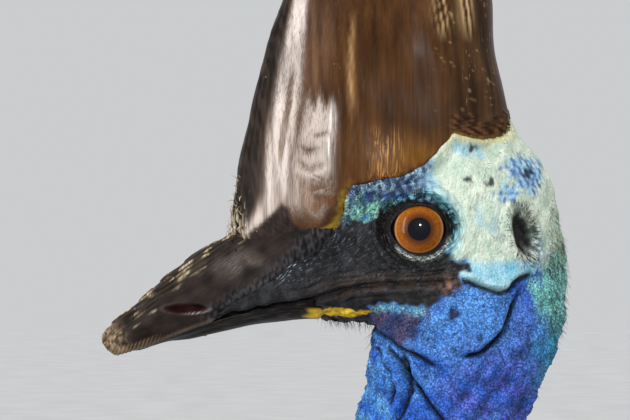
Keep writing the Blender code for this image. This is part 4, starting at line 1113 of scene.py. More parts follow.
def lid_patch(side):
    """The skin round the eye, from the lids' wet edge out to where it meets the face."""
    turns, steps = 260, 64
    turn = round_turn(turns)[None, :]
    rear, front = np.maximum(np.cos(turn), 0), np.maximum(-np.cos(turn), 0)
    upper, lower = np.maximum(np.sin(turn), 0), np.maximum(-np.sin(turn), 0)
    inner = 10.25 + 0.9 * rear**10 + 1.3 * front**10 - 0.85 * upper**2 - 0.4 * lower**2
    share = np.linspace(0, 1, steps)[:, None] ** 1.15
    radius = inner + (21.0 - inner) * share
    u, w = radius * np.cos(turn), radius * np.sin(turn)
    spots = np.stack([u, w], axis=2).reshape(-1, 2)
    base = side_depth(face_tree, spots).reshape(u.shape)
    ball = EYE_OFFSET + np.sqrt(np.maximum(EYE_RADIUS**2 - radius**2, 0))
    fresh = radius - inner
    lid = EYE_OFFSET + np.sqrt(np.maximum((EYE_RADIUS + 1.25) ** 2 - radius**2, 0))
    edge = smoothstep(0.0, 0.9, fresh)
    x = mix(ball - 0.5, lid, edge ** 0.7)
    x = mix(x, base, smoothstep(2.5, 7.5, fresh))
    noise = wobble(spots, 7.0, 61).reshape(u.shape)
    folds = 0.30 * np.sin(FULL_TURN * (radius + 0.5 * noise) / 1.5)
    folds *= smoothstep(1.0, 2.0, fresh) * smoothstep(9.5, 6.0, fresh)
    brow = 1.1 * ridge(radius - 14.4 - 0.5 * noise, 1.2) * smoothstep(-0.1, 0.35, np.sin(turn))
    low = smoothstep(-0.30, -0.62, np.sin(turn - 0.22))
    crescent = ridge(radius - 12.7 - 0.9 * np.cos(turn), 0.95) * low
    rows = np.cos(FULL_TURN * (radius - 13.0) / 2.0)
    beads = 0.55 + 0.45 * np.cos(turn * 62 + 3.0 * noise) * rows
    x = x + folds + brow + crescent * (0.7 + 0.5 * beads)
    x = x - 0.9 * smoothstep(19.4, 21.0, radius)
    grid = np.stack([side * x, u, w], axis=2)
    points = grid.reshape(-1, 3)
    looks = skin_paint(np.column_stack([np.abs(points[:, 0]), spots]), np.zeros(len(points)))
    colour = looks["paint"]
    pale = (crescent * smoothstep(0.15, 0.6, beads)).reshape(-1, 1)
    share = unit(0.5 + 0.6 * wobble(spots, 3.0, 62)[:, None])
    grey = mix(srgb(112, 122, 122), srgb(206, 210, 200), share)
    colour = mix(colour, grey, np.clip(pale * 1.1, 0, 0.9))
    rim = smoothstep(1.6, 0.6, fresh).reshape(-1, 1)
    looks["paint"] = mix(colour, srgb(20, 15, 15), rim)
    looks["grain"] = looks["grain"] * mix(1, 0.3, rim[:, 0])
    looks["mottle"] = looks["mottle"] * 0.6
    return grid, looks


for label, side in SIDES:
    grid, looks = lid_patch(side)
    lids = Shape()
    lids.add_grid(grid, **looks)
    lids.build(f"lids_{label}", bare_skin)


# The bill

def culmen_depth(spots):
    """How far spots lie below the bill's upper ridge in the side view."""
    return np.abs(to_line(spots, CULMEN)[0])


def slanting(points):
    """The grain of the bill's worn ridge, which runs aslant."""
    (x, u, w) = points.T
    return wobble(np.column_stack([w - 0.72 * u, (u + w) * 0.10, x * 0.8]), 1.9, 83)


BILL_GROOVES = [
    # line, height, width and the share of its ends that fades
    ([(-88.0, -33.0), (-76.0, -27.0), (-64.0, -17.5), (-56.0, -10.0)], -0.55, 2.2, 0.3),
    ([(-112.0, -31.0), (-102.0, -26.5), (-90.0, -20.5), (-80.0, -14.0)], -0.7, 1.6, 0.3),
    ([(-126.0, -47.0), (-112.0, -41.5), (-98.0, -38.6), (-84.0, -34.5)], -0.35, 1.1, 0.2),
]
LOWER_GROOVE = ([(-116.0, -51.0), (-100.0, -46.4), (-80.0, -40.2), (-56.0, -35.0)], -0.35, 0.8, 0.2)


def bill_relief(points, upper):
    """How far the horn of the bill stands out of its smooth form."""
    spots = points[:, 1:3]
    u, w = spots.T
    r = wobble(points, 22.0, 71) * 0.16 + wobble(points * (0.35, 1.0, 1.0), 3.4, 72) * 0.02
    mouth, _ = to_line(spots, MOUTH)
    if upper:
        tilted = (spots - NOSTRIL) @ ((1, -NOSTRIL_TILT), (NOSTRIL_TILT, 1))
        away = np.hypot(*(tilted / NOSTRIL_SIZE).T)
        r += -3.0 * smoothstep(1.05, 0.6, away) + 0.28 * ridge(away - 1.22, 0.20)
        for groove in BILL_GROOVES:
            r += line_relief(spots, *groove)
        teeth = smoothstep(-133, -129, u) * smoothstep(-96, -108, u) * smoothstep(3.6, 1.6, mouth)
        r += teeth * 0.16 * np.sin(FULL_TURN * (u - 0.45 * w) / 1.5)
        slant = slanting(points)
        high = smoothstep(8.0, 3.0, culmen_depth(spots)) * smoothstep(-60, -80, u)
        r += high * (0.40 * smoothstep(0.2, 0.7, slant) + 0.15 * slant)
    else:
        r += line_relief(spots, *LOWER_GROOVE)
    return r + 0.35 * ridge(np.abs(mouth) - 0.6, 0.9)


BILL_TONES = {
    "horn": ((24, 19, 17), (41, 32, 29)),
    "ridge": ((20, 16, 14), (62, 52, 42)),
    "ridge flakes": ((146, 122, 92), (208, 192, 160)),
    "tip": ((66, 56, 48), (148, 124, 98)),
    "teeth": ((168, 140, 104),),
    "nostril rim and highlight": ((150, 140, 134),),
    "nostril": ((20, 9, 11), (50, 24, 28)),
    "grained rear": ((22, 21, 23), (60, 62, 66)),
    "lower bill": ((14, 12, 12), (56, 50, 46)),
    "yolk": ((206, 168, 36),),
    "edge": ((120, 104, 86),),
}


def bill_paint(points, upper):
    """The bill's look at each point: its colour, how worn and dull the horn is, and how pale a
    painted sheen makes it.
    """
    spots = points[:, 1:3]
    u, w = spots.T
    b, c = wobble(points * (1.0, 0.4, 1.0), 7.0, 81), wobble(points, 2.5, 82)
    paint = Paint(BILL_TONES, "horn", 0.5 + 0.35 * b)
    worn, dull = np.full(len(points), 0.05), np.zeros(len(points))
    # A painted sheen on the side of the bill
    bloom = 0.20 * mound(spots, (-77, -15), (12, 6)) * unit(0.8 + 0.4 * b)
    mouth, _ = to_line(spots, MOUTH)
    if upper:
        depth = culmen_depth(spots)
        high = smoothstep(8.5, 2.0, depth + 1.2 * b) * smoothstep(-70, -86, u)
        slant = slanting(points)
        paint.lay("ridge", high, 0.5 + 0.6 * slant)
        pale = high * smoothstep(0.62, 1.15, slant + 0.30 * smoothstep(4, 1, depth))
        paint.lay("ridge flakes", pale * 0.72, 0.5 + 0.6 * c)
        worn = worn + 0.16 * high
        tip = smoothstep(-119, -131, u + 0.9 * (w + 50) * 0.6)
        paint.lay("tip", tip * 0.75, 0.5 + 0.7 * c)
        teeth = smoothstep(-133, -129, u) * smoothstep(-108, -118, u) * smoothstep(3.2, 2.0, mouth)
        ridges = 0.5 + 0.5 * np.sin(FULL_TURN * (u - 0.45 * w) / 1.5)
        paint.lay("teeth", teeth * ridges * 0.42)
        away = np.hypot(*((spots - NOSTRIL) / NOSTRIL_SIZE).T)
        rear = smoothstep(-3, 4, u - NOSTRIL[0]) * smoothstep(1.0, -1.5, w - NOSTRIL[1])
        # Pale mostly at the lower rear of the nostril's edge: a painted highlight
        paint.lay("nostril rim and highlight", ridge(away - 1.16, 0.13) * (0.06 + 0.75 * rear))
        # The nostril's pit is painted dark: partly its own dark colour, partly painted shade
        paint.lay("nostril", smoothstep(1.10, 0.92, away), 0.4 + 0.25 * b)
        granular = smoothstep(8, 0, -to_line(spots, BILL_EDGE)[0])
        paint.lay("grained rear", granular * 0.7, 0.4 + 0.8 * c)
        dull = np.maximum(smoothstep(1.10, 0.95, away), granular * 0.7)
    else:
        lines = wobble(np.column_stack([w - 0.30 * u, u * 0.03, points[:, 0]]), 1.5, 84)
        paint = Paint(BILL_TONES, "lower bill", smoothstep(0.5, 1.4, lines))
        yolk = smoothstep(-33.2, -34.6, w) * smoothstep(-39.4, -37.6, w)
        paint.lay("yolk", smoothstep(-50, -42, u + 2 * b) * yolk * 0.9)
    paint.lay("edge", ridge(mouth, 0.7) * 0.35 * smoothstep(-60, -80, u))
    comb = np.zeros(len(points))
    return {"paint": paint.colour, "worn": worn, "bloom": bloom, "dull": dull, "comb": comb}


def bill_half(upper):
    """A half of the bill: its outer side from edge to edge, closed by a palate inside it."""
    count, inner = (56 if upper else 40), 10
    first, last = (0.0, 10.2) if upper else (1.95, 9.6)
    places = row_places(BIRD, first, last, 0.5)
    rows = stations_at(BIRD, places)
    limit = mouth_angles(rows)
    if upper:
        limit[(places < 2.0) & ~np.isfinite(limit)] = math.pi
    known = np.isfinite(limit)
    limit = np.interp(places, places[known], limit[known])
    limit = np.convolve(np.pad(limit, 3, "edge"), np.ones(7) / 7, "valid")
    share = np.linspace(0, 1, count + 1)
    if upper:
        half = limit[:, None] * share
        ring = np.concatenate([half[:, ::-1], -half[:, 1:]], axis=1)
    else:
        half = limit[:, None] + (math.pi - limit[:, None]) * share
        ring = np.concatenate([half, FULL_TURN - half[:, -2::-1]], axis=1)
    grid = section_points(rows, ring)
    shape = grid.shape
    flat = grid.reshape(-1, 3).copy()
    normals = grid_normals(grid, closed=False)
    centre = grid.mean(axis=1, keepdims=True)
    normals *= np.sign(((grid - centre) * normals).sum(axis=2, keepdims=True))
    past = to_line(flat[:, 1:3], BILL_EDGE if upper else JAW_EDGE)[0]
    sink = mix(0.25, -1.6, smoothstep(-1.2, 1.5, past)) - 5.0 * smoothstep(1.5, 7.0, past)
    lift = bill_relief(flat, upper) + sink
    grid = grid + normals * lift.reshape(shape[:2])[..., None]
    if not upper:
        grid[..., 0] *= 0.955
        grid[:, (0, 1, -2, -1), 2] -= 0.25
    else:
        cutting_edge = ridge(to_line(flat[:, 1:3], MOUTH)[0], 1.6).reshape(shape[:2])
        grid[..., 2] -= 0.45 * cutting_edge
    back = np.linspace(0, 1, inner + 2)[1:-1]
    right, left = grid[:, -1], grid[:, 0]
    palate = right[:, None] + (left - right)[:, None] * back[None, :, None]
    arch = np.sin(math.pi * back)[None] * (rows[:, 4] * 0.18)[:, None]
    palate[..., 2] += (1.0 if upper else -0.35) * arch
    full = np.concatenate([grid, palate], axis=1)
    return full, bill_paint(full.reshape(-1, 3), upper)


def cap(piece, row, columns, centre, **values):
    """Closes an end of a grid with a fan."""
    piece.add([centre], [], **values)
    k = np.arange(columns)
    fan = [row + k, row + (k + 1) % columns, np.full(columns, piece.count - 1)]
    piece.faces.append(np.stack(fan, axis=1))


bill_horn = horn_material("bill_horn", (900, 110, 900), 36, srgb(180, 162, 130), 0.44, 0.06)
for name, upper in (("upper", True), ("lower", False)):
    full, looks = bill_half(upper)
    half_bill = Shape()
    half_bill.add_grid(full, **looks)
    tip = full[0].mean(axis=0) - (0, 0.9 if upper else 0.4, 0)
    cap(half_bill, 0, full.shape[1], tip, **{key: value[:1] for key, value in looks.items()})
    piece = half_bill.build(f"horn_bill_{name}", bill_horn)
    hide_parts(f"bill_{name}")


# The casque

CREASE = [(-33.0, 12.0), (-34.6, 18.0), (-35.0, 34.0), (-34.8, 48.0), (-34.6, 66.0)]
# The painted reflection band down the front: its middle and its width at each height
SHEEN_BAND_HEIGHTS = (-5.0, 0.0, 8.0, 16.0, 28.0, 40.0, 52.0, 65.0, 81.0, 98.0, 165.0)
SHEEN_BAND_MIDDLES = (-74.0, -69.8, -63.7, -59.6, -59.2, -58.0, -55.9, -54.6, -52.7, -50.2, -12.0)
SHEEN_BAND_WIDTHS = (2.5, 4.0, 5.3, 6.0, 5.7, 6.0, 5.7, 5.0, 4.0, 3.3, 2.0)
WEDGE = [
    (-84, -12), (-77, -6), (-67, 2.5), (-58, 10.5), (-54.5, 9), (-53.5, 3.5), (-50, 1.0),
    (-50, -12),
]
CASQUE_FOLDS = [
    # folds of the milky lobe and of the brown one below it, with their depth
    ([(-52.0, 29.5), (-45.0, 25.0), (-37.0, 28.5)], -1.1),
    ([(-48.0, 22.5), (-42.0, 20.0), (-37.0, 23.5)], -0.9),
    ([(-52.0, 35.5), (-47.0, 32.5), (-40.0, 34.5)], -0.6),
    ([(-45.0, 13.5), (-39.5, 14.0), (-36.0, 18.0)], -1.1),
    ([(-49.0, 8.0), (-43.0, 5.5), (-38.5, 9.0)], -0.7),
    ([(-46.0, 42.0), (-41.0, 40.0), (-37.0, 42.5)], -0.4),
]


def casque_bent(points):
    """The side view, bent a little so that folds don't run in plain curves."""
    return points[:, 1:3] + np.column_stack([wobble(points, 9.0, seed) for seed in (97, 98)]) * 0.9


def fibres(points, stretch, length, seed):
    """Upright streaks of the casque's horn, which lean a little ahead."""
    (x, u, w) = points.T
    return wobble(np.column_stack([u + 0.10 * (w - 20), x, w * stretch]), length, seed)


def casque_foot(points):
    """The height over the casque's border, made ragged, and the grain of the horn's layers and
    of its chips there."""
    (x, u, w) = points.T
    border, _ = to_line(points[:, 1:3], CASQUE_EDGE)
    ragged = border + 1.4 * wobble(points, 6.0, 93) + 0.8 * wobble(points, 2.4, 94)
    layers = wobble(np.column_stack([u * 0.3, w + 0.12 * u, x * 0.3]), 1.9, 95)
    chips = wobble(np.column_stack([u * 1.6, w * 0.5, x]), 3.0, 96)
    return border, ragged, layers, chips


def casque_relief(points):
    """How far the casque stands out of its smooth form."""
    spots = points[:, 1:3]
    u, w = spots.T
    r = wobble(points, 40.0, 91) * 0.5 + 0.07 * fibres(points, 0.06, 3.4, 92)
    r += line_relief(spots, CREASE, -1.3, 1.4, 0.25)
    r += 2.6 * mound(spots, (-50, 26), (12, 26))
    r += 2.4 * mound(spots, (-44, 9), (8, 8))
    for line, height in CASQUE_FOLDS:
        r += line_relief(casque_bent(points), line, height, 1.5, 0.35)
    _, ragged, layers, chips = casque_foot(points)
    skirt = smoothstep(8.5, 6.5, ragged) * smoothstep(10, 18, u)
    r += skirt * (0.4 * layers - 0.7)
    r += 0.6 * ridge(ragged - 8.5, 1.4) * smoothstep(10, 18, u)
    foot = smoothstep(-69, -76, u + 0.25 * w) * smoothstep(14, 2, w)
    return r + foot * (0.5 * smoothstep(0.3, 0.6, chips) + 0.2 * chips)


CASQUE_TONES = {
    "horn": ((46, 26, 10), (70, 43, 19)),
    "front": ((64, 42, 28), (90, 64, 46)),
    "leading edge": ((17, 14, 12), (46, 38, 34)),
    "stripe": ((150, 116, 78),),
    "low": ((86, 57, 30), (116, 80, 44)),
    "amber": ((122, 80, 24),),
    "lobe": ((76, 50, 36), (112, 80, 58)),
    "rear": ((44, 30, 20), (70, 50, 32)),
    "scratches": ((150, 122, 84),),
    "crest": ((196, 164, 118),),
    "skirt": ((42, 24, 16), (104, 70, 44)),
    "skirt edge": ((120, 86, 40),),
    "gold": ((92, 70, 26), (150, 122, 44)),
    "wedge": ((34, 27, 25), (56, 46, 42)),
    "chips": ((186, 172, 146),),
}


def casque_paint(points):
    """The casque's look at each point: its colour, how worn and combed the horn is, and how pale it
    is from milky horn and from painted reflections.
    """
    spots = points[:, 1:3]
    u, w = spots.T
    streak, fine = fibres(points, 0.04, 5.5, 101), fibres(points, 0.05, 2.4, 102)
    rim, ragged, layers, chips = casque_foot(points)
    a, c = wobble(points, 30.0, 103), wobble(points, 3.0, 104)
    paint = Paint(CASQUE_TONES, "horn", 0.5 + 0.25 * a + 0.3 * streak)
    front = smoothstep(-38, -50, u - 0.14 * (w - 20))
    paint.lay("front", front * 0.9, 0.4 + 0.5 * streak)
    # The painted reflection band down the front, the milky lobe behind it and the bridge between
    # them
    middle = np.interp(w, SHEEN_BAND_HEIGHTS, SHEEN_BAND_MIDDLES)
    wide = np.interp(w, SHEEN_BAND_HEIGHTS, SHEEN_BAND_WIDTHS)
    ahead = smoothstep(middle - wide * 0.6, middle - wide * 1.7, u)
    paint.lay("leading edge", ahead * 0.95, 0.4 + 0.5 * fine)
    across = (u - middle) / wide
    band = smoothstep(1.5, 0.45, np.abs(across)) * (0.60 + 0.40 * unit(0.5 + 0.7 * streak))
    gap = smoothstep(0.10, 0.35, np.abs(across - 0.15))
    gap = gap + smoothstep(60, 72, w) + smoothstep(36, 24, w)
    bloom = band * np.clip(gap, 0.35, 1) * smoothstep(-7, -1, w)
    bent = casque_bent(points)
    # Painted shade in the lobe's folds, and a painted highlight just above each fold
    folds = sum(line_relief(bent, line, 1.0, 1.3, 0.35) for line, _ in CASQUE_FOLDS)
    above = sum(line_relief(bent - (0, 2.0), line, 1.0, 1.6, 0.35) for line, _ in CASQUE_FOLDS)
    low_part = smoothstep(48, 26, w)
    milk = smoothstep(1.25, 0.45, np.abs((u + 42.0 + 3.0 * low_part) / (7.5 + 2.0 * low_part)))
    milk *= smoothstep(59, 46, w - 3 * fine) * smoothstep(14, 27, w)
    patchy = 0.92 + 0.06 * streak + 0.16 * wobble(points, 14.0, 107) - 0.5 * folds
    bloom = np.maximum(bloom, milk * unit(patchy))
    joined = ridge(u + 53 + 0.1 * (w - 20), 7.5) * smoothstep(2, 12, w) * smoothstep(40, 24, w)
    bloom = np.maximum(bloom, joined * (0.50 + 0.12 * streak - 0.2 * unit(folds)))
    bloom = np.maximum(bloom, 0.5 * unit(above) * smoothstep(52, 40, w))
    # Tones of the side, the rear and the crest
    stripe = ridge(u + 28.5, 1.6) * smoothstep(40, 60, w) * smoothstep(96, 80, w)
    paint.lay("stripe", stripe * unit(0.5 + 0.4 * fine))
    low = ridge(u + 2, 26) * smoothstep(48, 26, w)
    paint.lay("low", low * 0.8, 0.5 + 0.5 * fine)
    paint.lay("amber", mound(spots, (-2, 30), (9, 6)) * 0.5)
    comb = np.exp(-(((u + 14) / 6.5) ** 4)) * smoothstep(46, 36, w) * smoothstep(-3.0, 1.0, w - 20)
    paint.lay("lobe", mound(spots, (-44, 9), (9, 9)) * 0.9, 0.5 + 0.7 * wobble(points, 9.0, 109))
    rear = smoothstep(2, 20, u - 0.05 * w) * smoothstep(20, 44, w)
    paint.lay("rear", rear * 0.8, 0.5 + 0.5 * streak)
    curled = np.column_stack([u + 2.5 * wobble(points, 12.0, 105), points[:, 0], w * 0.35])
    squiggle = smoothstep(0.06, 0.02, np.abs(wobble(curled, 9.0, 106)))
    squiggle *= smoothstep(40, 60, w) * smoothstep(2, 14, u)
    paint.lay("scratches", squiggle * 0.6 * unit(0.3 + 0.9 * c))
    crest = smoothstep(78, 92, w) * (ridge(u - 10, 3.0) + ridge(u - 20.5 + 0.12 * (w - 90), 2.6))
    paint.lay("crest", np.clip(crest * (0.4 + 0.8 * fine), 0, 0.85))
    # The layered skirt, the gold edge and the dark wedge at the casque's foot
    rearward = smoothstep(10, 18, u)
    paint.lay("skirt", smoothstep(8.8, 7.4, ragged) * rearward * 0.85, 0.3 + 0.6 * layers)
    paint.lay("skirt edge", smoothstep(2.0, 0.3, rim + 0.5 * c) * rearward * 0.8)
    gold = smoothstep(3.8, 1.8, rim + 0.5 * c) * smoothstep(-54, -47, u) * smoothstep(-26, -33, u)
    paint.lay("gold", gold * 0.9, 0.3 + 0.5 * c + 0.5 * smoothstep(14, 2, w))
    wedge = smoothstep(-1.0, 1.2, inside(spots, WEDGE))
    paint.lay("wedge", wedge, 0.5 + 0.4 * c)
    foot = smoothstep(-70, -76, u + 0.25 * w) * smoothstep(12, 2, w)
    paint.lay("chips", foot * smoothstep(0.35, 0.6, chips) * 0.8)
    worn = 0.02 + 0.22 * rear * smoothstep(36, 60, w) + 0.20 * ahead + 0.25 * foot
    worn += 0.16 * smoothstep(44, 60, w) * smoothstep(-44, -38, u) * smoothstep(-22, -34, u)
    bloom = unit(bloom * (1 - wedge))
    dull = np.zeros(len(points))
    return {"paint": paint.colour, "worn": worn, "bloom": bloom, "dull": dull, "comb": comb}


smooth_casque = casque.reshape(-1, 3)
border, _ = to_line(smooth_casque[:, 1:3], CASQUE_EDGE)
lift = casque_relief(smooth_casque) - 1.2 * smoothstep(0.9, -1.2, border)
carved = raised(casque, lift)
looks = casque_paint(smooth_casque)
crown_horn = horn_material("casque_horn", (820, 820, 20), 0, srgb(160, 132, 94), 0.36, 0.08)
horn = Shape()
horn.add_grid(carved, **looks)
top = carved[-1].mean(axis=0) + (0, 0, 0.6)
last_row = (len(carved) - 1) * CASQUE_COLUMNS
cap(horn, last_row, CASQUE_COLUMNS, top, **{key: value[-1:] for key, value in looks.items()})
piece = horn.build("casque_shell", crown_horn)
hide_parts("casque")


# Plumage

BODY_LOFT = np.vstack([HEAD[BODY_START:BODY_START + 1], BODY])
LOCK_RISE, LOCK_SINK = 3.0, 8.0
COAT_STEP_ALONG, COAT_STEP_ROUND = 27.0, 23.0
COAT_STRANDS, THIGH_STRANDS, WING_STRANDS = 20, 13, 8
COAT_THICKNESS, SHORT_THICKNESS = 1.06, 0.9


def body_tree():
    """A tree of the smooth body under the coat."""
    places = np.arange(0, len(BODY_LOFT) - 1 + 1e-6, 0.25)
    angles = round_turn(48)
    grid = section_points(stations_at(BODY_LOFT, places), np.tile(angles, (len(places), 1)))
    return grid_tree(grid, outward_quads(grid))


def lie_of_coat(normal):
    """The way the coat lies: back along the spine, down over flanks, breast and rump."""
    flank = 1 - max(normal.z, 0) ** 1.2
    slope = math.radians(16 + 48 * flank + 22 * abs(normal.y) * flank)
    flow = Vector((0, math.cos(slope), -math.sin(slope)))
    return (flow - normal * min(flow.dot(normal), 0)).normalized()


def guide_path(tree, root, length, reach, sway, steps):
    """Points down a tuft that rises out of the coat as it runs back, with its way out."""
    near, out, _, _ = tree.find_nearest(Vector(root))
    flow = lie_of_coat(out)
    points, outs = [near - out * LOCK_SINK - flow * LOCK_SINK], [out]
    spot = near
    for i in range(1, steps + 1):
        turned = (flow + flow.cross(out) * sway * (1 - 1.6 * i / steps)).normalized()
        spot = spot + turned * length / steps
        near, out, _, _ = tree.find_nearest(spot)
        height = LOCK_RISE + (reach - LOCK_RISE) * i / steps
        if out.z > 0.25 or (spot - near).dot(out) < height:
            spot = near + out * height
        points.append(spot)
        outs.append(out)
        flow = (flow + lie_of_coat(out) * 2).normalized()
    points, outs = np.array([tuple(p) for p in points]), np.array([tuple(o) for o in outs])
    points[1:-1] = (points[:-2] + points[1:-1] * 2 + points[2:]) / 4
    return points, outs


def prisms(piece, centre, side, up, size, tint, turn=0.0, depth=1.0, spots=None):
    """Adds hairs, each a closed prism of three sides that tapers to a point. centre: points
    down each hair. side, up: its ways across. size: its half width at the points."""
    total, rings = len(centre), centre.shape[1] - 1
    corners = []
    for k in range(3):
        angle = turn + FULL_TURN * k / 3
        across, above = np.cos(angle) * size, np.sin(angle) * size * depth
        corners.append(centre + side * across[..., None] + up * above[..., None])
    body = np.stack(corners, axis=2)[:, :-1].reshape(total, -1, 3)
    points = np.concatenate([body, centre[:, -1:]], axis=1)
    per = rings * 3 + 1
    k = (rings - 1) * 3 + np.arange(3)
    after = (rings - 1) * 3 + np.array([1, 2, 0])
    quads = grid_quads(rings, 3, True)[:, [0, 3, 2, 1]]
    ends = np.concatenate([np.stack([k, after, np.full(3, per - 1)], axis=1), [[2, 1, 0]]])
    offset = (np.arange(total) * per)[:, None, None]
    faces = [(quads + offset).reshape(-1, 4), (ends + offset).reshape(-1, 3)]
    tip = np.append(np.repeat(np.linspace(0, 1, rings + 1)[:-1], 3), 1.0) ** 3
    uv = None if spots is None else spots[:, None] + 0.0015 * (points[..., :2] % 7 / 3.5 - 1)
    piece.add(points, faces, uv, tint=np.repeat(tint, per), tip=np.tile(tip, total))


def guide_paths(tree, tufts, steps=8):
    """The guide paths of tufts, each told by its root, length, reach and sway."""
    paths, outs = zip(*(guide_path(tree, *tuft, steps) for tuft in tufts))
    return np.array(paths), np.array(outs)


def strands(piece, paths, outs, spots, count, spread, width, rng, rings=4, curl=0.10):
    """Sets tapered feathers round each guide path."""
    total = len(paths) * count
    steps = paths.shape[1]
    owner = np.repeat(np.arange(len(paths)), count)
    path, out = paths[owner], outs[owner]
    ahead = np.gradient(path, axis=1)
    ahead /= np.linalg.norm(ahead, axis=2, keepdims=True)
    across = np.cross(ahead, out)
    across /= np.linalg.norm(across, axis=2, keepdims=True) + 1e-9
    start = rng.uniform(0.0, 0.16, total)
    end = rng.uniform(0.62, 1.0, total)
    share = start[:, None] + (end - start)[:, None] * np.linspace(0, 1, rings + 1)[None]
    place = share * (steps - 1)
    low = np.minimum(place.astype(int), steps - 2)
    t = (place - low)[..., None]
    rows = np.arange(total)[:, None]

    def pick(values):
        return values[rows, low] * (1 - t) + values[rows, low + 1] * t

    centre, way, side, up = pick(path), pick(ahead), pick(across), pick(out)
    fan = rng.normal(size=(total, 2)) * spread[owner][:, None]
    close = 1.0 - 0.35 * share + 0.5 * share**2
    centre = centre + side * (fan[:, :1] * close)[..., None] + way * (fan[:, 1:] * 0.8)[..., None]
    lift = rng.uniform(-0.55, 0.12, total)[:, None] * np.sin(share * math.pi / 2) * 24.0
    centre = centre + up * lift[..., None]
    bend = rng.normal(size=total)[:, None] * curl * share**2 * 60
    centre = centre + side * bend[..., None]
    taper = np.interp(np.linspace(0, 1, rings + 1), (0, 0.2, 0.6, 1), (0.55, 1.0, 0.85, 0.12))
    size = (width * rng.uniform(0.7, 1.3, total))[:, None] * taper[None]
    turn = rng.uniform(0, FULL_TURN, (total, 1))
    tint = unit(rng.normal(0.35, 0.25, total))
    prisms(piece, centre, side, up, size, tint, turn, 0.8, spots[owner])


def coat_roots(step_along, step_round):
    """Even roots over the body: place along it, angle, and the point."""
    roots = []
    lengths = row_places(BODY_LOFT, 0.02, len(BODY_LOFT) - 1.25, step_along)
    for i, place in enumerate(lengths):
        row = stations_at(BODY_LOFT, np.array([place]))
        angles = np.linspace(0, FULL_TURN, 181)
        points = section_points(row, angles[None])[0]
        around = np.concatenate([[0], np.cumsum(np.linalg.norm(np.diff(points, axis=0), axis=1))])
        count = max(6, int(around[-1] / step_round))
        at = (np.arange(count) + 0.5 * (i % 2)) / count * around[-1]
        for angle in np.interp(at, around, angles):
            roots.append((place, angle))
    return np.array(roots)


plume = feather_material()
coat_tree = body_tree()
rng = np.random.default_rng(7)
roots = coat_roots(COAT_STEP_ALONG, COAT_STEP_ROUND)
roots[:, 0] += rng.uniform(-0.06, 0.06, len(roots))
roots[:, 1] += rng.uniform(-0.04, 0.04, len(roots))
root_rows = stations_at(BODY_LOFT, roots[:, 0].clip(0, len(BODY_LOFT) - 1.05))
root_points = section_points(root_rows, roots[:, 1:])[:, 0]
lengths = np.interp(roots[:, 0], (0, 1, 3, 6, 8, 11), (95, 130, 190, 225, 215, 150))
tufts = []
for place, root, length in zip(roots[:, 0], root_points, lengths):
    reach = COAT_REACH * rng.uniform(0.62, 1.0) * np.interp(place, (0, 0.6, 1.5), (0.45, 0.8, 1.0))
    tufts.append((root, length * rng.uniform(0.85, 1.12), reach, rng.uniform(-0.16, 0.16)))
paths, outs = guide_paths(coat_tree, tufts)
coat_uv = np.column_stack([
    0.02 + 0.96 * roots[:, 0] / (len(BODY_LOFT) - 1),
    0.02 + 0.96 * roots[:, 1] % FULL_TURN / FULL_TURN,
])
left, flank, rump = roots[:, 1] < math.pi, roots[:, 0] >= 4.2, roots[:, 0] >= 7.4
zones = {
    "collar": roots[:, 0] < 2.0,
    "breast": (roots[:, 0] >= 2.0) & ~flank,
    "flank_left": flank & ~rump & left,
    "flank_right": flank & ~rump & ~left,
    "rump_left": rump & left,
    "rump_right": rump & ~left,
}
for name, chosen in zones.items():
    coat = Shape()
    spread = np.where(roots[chosen, 0] < 1.0, 7.0, 13.0)
    chosen_paths = paths[chosen], outs[chosen], coat_uv[chosen]
    strands(coat, *chosen_paths, COAT_STRANDS, spread, COAT_THICKNESS, rng)
    coat.build(f"plumage_{name}", plume)


# Tubes for the legs, claws, wattles and quills

def tube(points, half_sizes, across, sides, relief=None, floor=None):
    """A grid of oval sections along points, in millimetres."""
    points, half_sizes = np.array(points, float), np.array(half_sizes, float)
    ahead = np.empty_like(points)
    ahead[1:-1] = points[2:] - points[:-2]
    ahead[0], ahead[-1] = points[1] - points[0], points[-1] - points[-2]
    across = np.broadcast_to(np.asarray(across, float), points.shape)
    deep = np.cross(ahead, across)
    deep /= np.linalg.norm(deep, axis=1, keepdims=True)
    wide = np.cross(deep, ahead)
    wide /= np.linalg.norm(wide, axis=1, keepdims=True)
    angle = round_turn(sides)
    along = np.arange(len(points))[:, None] / (len(points) - 1)
    lift = 0.0 if relief is None else relief(along, angle[None])
    out = wide[:, None] * (np.cos(angle) * (half_sizes[:, :1] + lift))[..., None]
    out = out + deep[:, None] * (np.sin(angle) * (half_sizes[:, 1:2] + lift))[..., None]
    grid = points[:, None] + out
    if floor is not None:
        grid[..., 2] = np.maximum(grid[..., 2], floor)
    return grid


def curve(rows, count):
    """Smooth rows through the given ones."""
    return stations_at(np.array(rows, float), np.linspace(0, len(rows) - 1, count))


def closed_tube(piece, grid, **values):
    """Adds a tube and rounds off both its ends."""
    rows, sides = grid.shape[:2]
    centres = grid.mean(axis=1)
    points = np.concatenate([grid.reshape(-1, 3), centres[:1], centres[-1:]])
    k = np.arange(sides)
    after, end = (k + 1) % sides, (rows - 1) * sides
    first = np.stack([after, k, np.full(sides, rows * sides)], axis=1)
    last = np.stack([end + k, end + after, np.full(sides, rows * sides + 1)], axis=1)
    full = {name: np.concatenate([value, value[:1], value[-1:]]) for name, value in values.items()}
    piece.add(points, [grid_quads(rows, sides, True), first, last], **full)


def from_hips(back, up, x=0.0):
    """A point in metres behind the hips and above the floor, in the head's millimetres."""
    return np.array([x * 1000, back * 1000 + EYE_AHEAD, up * 1000 - EYE_HEIGHT])


STANCE_HALF_WIDTH = 0.108
STEPS = {"left": -0.045, "right": 0.045}
